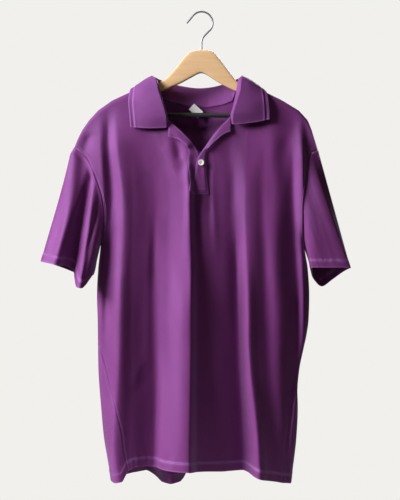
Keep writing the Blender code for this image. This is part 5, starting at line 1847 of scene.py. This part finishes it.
def make_label():
    """Blank woven label sewn at its top edge, curling where it hangs."""
    width, height = LABEL_SIZE
    turn = math.radians(LABEL_TURN)
    across = np.array((math.cos(turn), 0.0, math.sin(turn)))
    up = np.array((-math.sin(turn), 0.0, math.cos(turn)))
    i, j = np.meshgrid(np.linspace(0, 1, 33), np.linspace(0, 1, 41), indexing="ij")
    points = (np.array(LABEL_CENTRE) + across * ((j - 0.5) * width)[..., None]
              + up * ((0.5 - i) * height)[..., None])
    curl = LABEL_BOW * np.sin(math.pi * i) + LABEL_WAVE * np.sin(2.6 * j + 0.4) * i
    curl += LABEL_FOLD * bell(j - LABEL_FOLD_AT, 0.02)
    curl += LABEL_FOLD * bell(j - 1.0 + LABEL_FOLD_AT, 0.02)
    points[..., 1] -= curl
    normals = grid_normals(points, False)
    normals = normals * np.sign(-normals[:, :, 1:2].mean())
    obj = shell("neck_label_woven", points, normals, LABEL_WALL, False, MATERIALS["label"])
    return place_piece(obj, ("neck_label",))


# ----------------------------------------------------------------- light, view
WALL_COLOUR = (0.88, 0.87, 0.84)
FLOOR_COLOUR = (0.48, 0.475, 0.46)
FILL_COLOUR = (1.0, 0.80, 0.66)
FILL_STRENGTH = 0.036
FLOOR_Z = -1.22
FLOOR_RADIUS = 2.6
FLOOR_FADE = (0.55, 1.05)      # where the floor starts and ends to fade, from its middle
AIM = (0.0, 0.0, -0.5)         # the shirt's middle
# Lights: name, place, size, power in watts and colour.
LIGHTS = (
    ("key", (-2.66, -1.12, 0.95), 1.4, 275.0, (0.97, 0.97, 1.0)),
    ("fill", (0.3, -2.3, 2.1), 1.5, 8.0, (1.0, 0.93, 0.84)),
    ("back", (0.5, 2.8, 1.2), 2.0, 95.0, (1.0, 0.98, 0.95)),
)
CAMERA_AWAY = 3.0
SENSOR_WIDTH = 36.0
FIELD_HEIGHT = 1.060           # metres that the frame takes in, at the shirt
VIEW_X = -0.0034
VIEW_Z = -0.5033


def area_light(name, place, size, power, colour):
    """Square soft light that faces the shirt's middle."""
    light = bpy.data.lights.new(name, "AREA")
    light.size = size
    light.energy = power
    light.color = colour
    obj = new_object(name, light)
    obj.location = place
    aim = np.array(AIM) - np.array(place)
    obj.rotation_mode = "QUATERNION"
    obj.rotation_quaternion = mathutils.Vector(aim).to_track_quat("-Z", "Y")


def pale_world():
    """Pale wall colour to the eye, dimmer as light."""
    world = bpy.data.worlds.new("pale studio")
    bpy.context.scene.world = world
    world.use_nodes = True
    tree = world.node_tree
    tree.nodes.clear()
    seen = add_node(tree, "ShaderNodeBackground")
    seen.inputs[0].default_value = (*WALL_COLOUR, 1.0)
    lit = add_node(tree, "ShaderNodeBackground")
    lit.inputs[0].default_value = (*FILL_COLOUR, 1.0)
    lit.inputs[1].default_value = FILL_STRENGTH
    ray = add_node(tree, "ShaderNodeLightPath")
    mix = add_node(tree, "ShaderNodeMixShader")
    out = add_node(tree, "ShaderNodeOutputWorld")
    tree.links.new(ray.outputs["Is Camera Ray"], mix.inputs[0])
    tree.links.new(lit.outputs[0], mix.inputs[1])
    tree.links.new(seen.outputs[0], mix.inputs[2])
    tree.links.new(mix.outputs[0], out.inputs[0])


def pale_floor():
    """Pale floor that fades into the wall's colour."""
    bpy.ops.object.select_all(action="DESELECT")
    bpy.ops.mesh.primitive_circle_add(vertices=96, radius=FLOOR_RADIUS, fill_type="NGON",
                                      location=(0.0, 0.0, FLOOR_Z))
    obj = bpy.context.object
    obj.name = obj.data.name = "studio_floor"
    bpy.ops.object.transform_apply(location=True)
    material, tree, shader = start_material("studio floor", 0.9)
    parts = add_node(tree, "ShaderNodeSeparateXYZ")
    tree.links.new(object_place(tree), parts.inputs[0])
    square = math_node(tree, "ADD", math_node(tree, "POWER", parts.outputs[0], 2.0),
                       math_node(tree, "POWER", parts.outputs[1], 2.0))
    away = math_node(tree, "SQRT", square)
    fade = add_node(tree, "ShaderNodeMapRange")
    fade.inputs["From Min"].default_value = FLOOR_FADE[0]
    fade.inputs["From Max"].default_value = FLOOR_FADE[1]
    fade.inputs["To Min"].default_value = 1.0
    fade.inputs["To Max"].default_value = 0.0
    tree.links.new(away, fade.inputs["Value"])
    tree.links.new(fade.outputs[0], shader.inputs["Alpha"])
    shader.inputs["Base Color"].default_value = (*FLOOR_COLOUR, 1.0)
    obj.data.materials.append(material)


def make_camera():
    """Camera square to the front, at the photograph's height."""
    camera = bpy.data.cameras.new("photo camera")
    camera.sensor_width = SENSOR_WIDTH
    camera.lens = SENSOR_WIDTH * CAMERA_AWAY / FIELD_HEIGHT
    obj = new_object("photo camera", camera)
    obj.location = (VIEW_X, -CAMERA_AWAY, VIEW_Z)
    obj.rotation_euler = (math.pi / 2, 0.0, 0.0)
    bpy.context.scene.camera = obj


def main():
    body = make_body()
    stitches = sew_body(body)
    collar = make_collar()
    over = make_placket("placket_over", PLACKET_OVER, OVER_LIFT)
    under = make_placket("placket_under", PLACKET_UNDER, UNDER_LIFT)
    over_sewn, under_sewn, foot = sew_plackets(over, under)
    make_buttons()
    label = make_label()
    make_wood()
    make_hook()
    make_bar()
    for light in LIGHTS:
        area_light(*light)
    bpy.context.scene.view_settings.view_transform = "Standard"
    pale_world()
    pale_floor()
    make_camera()


main()
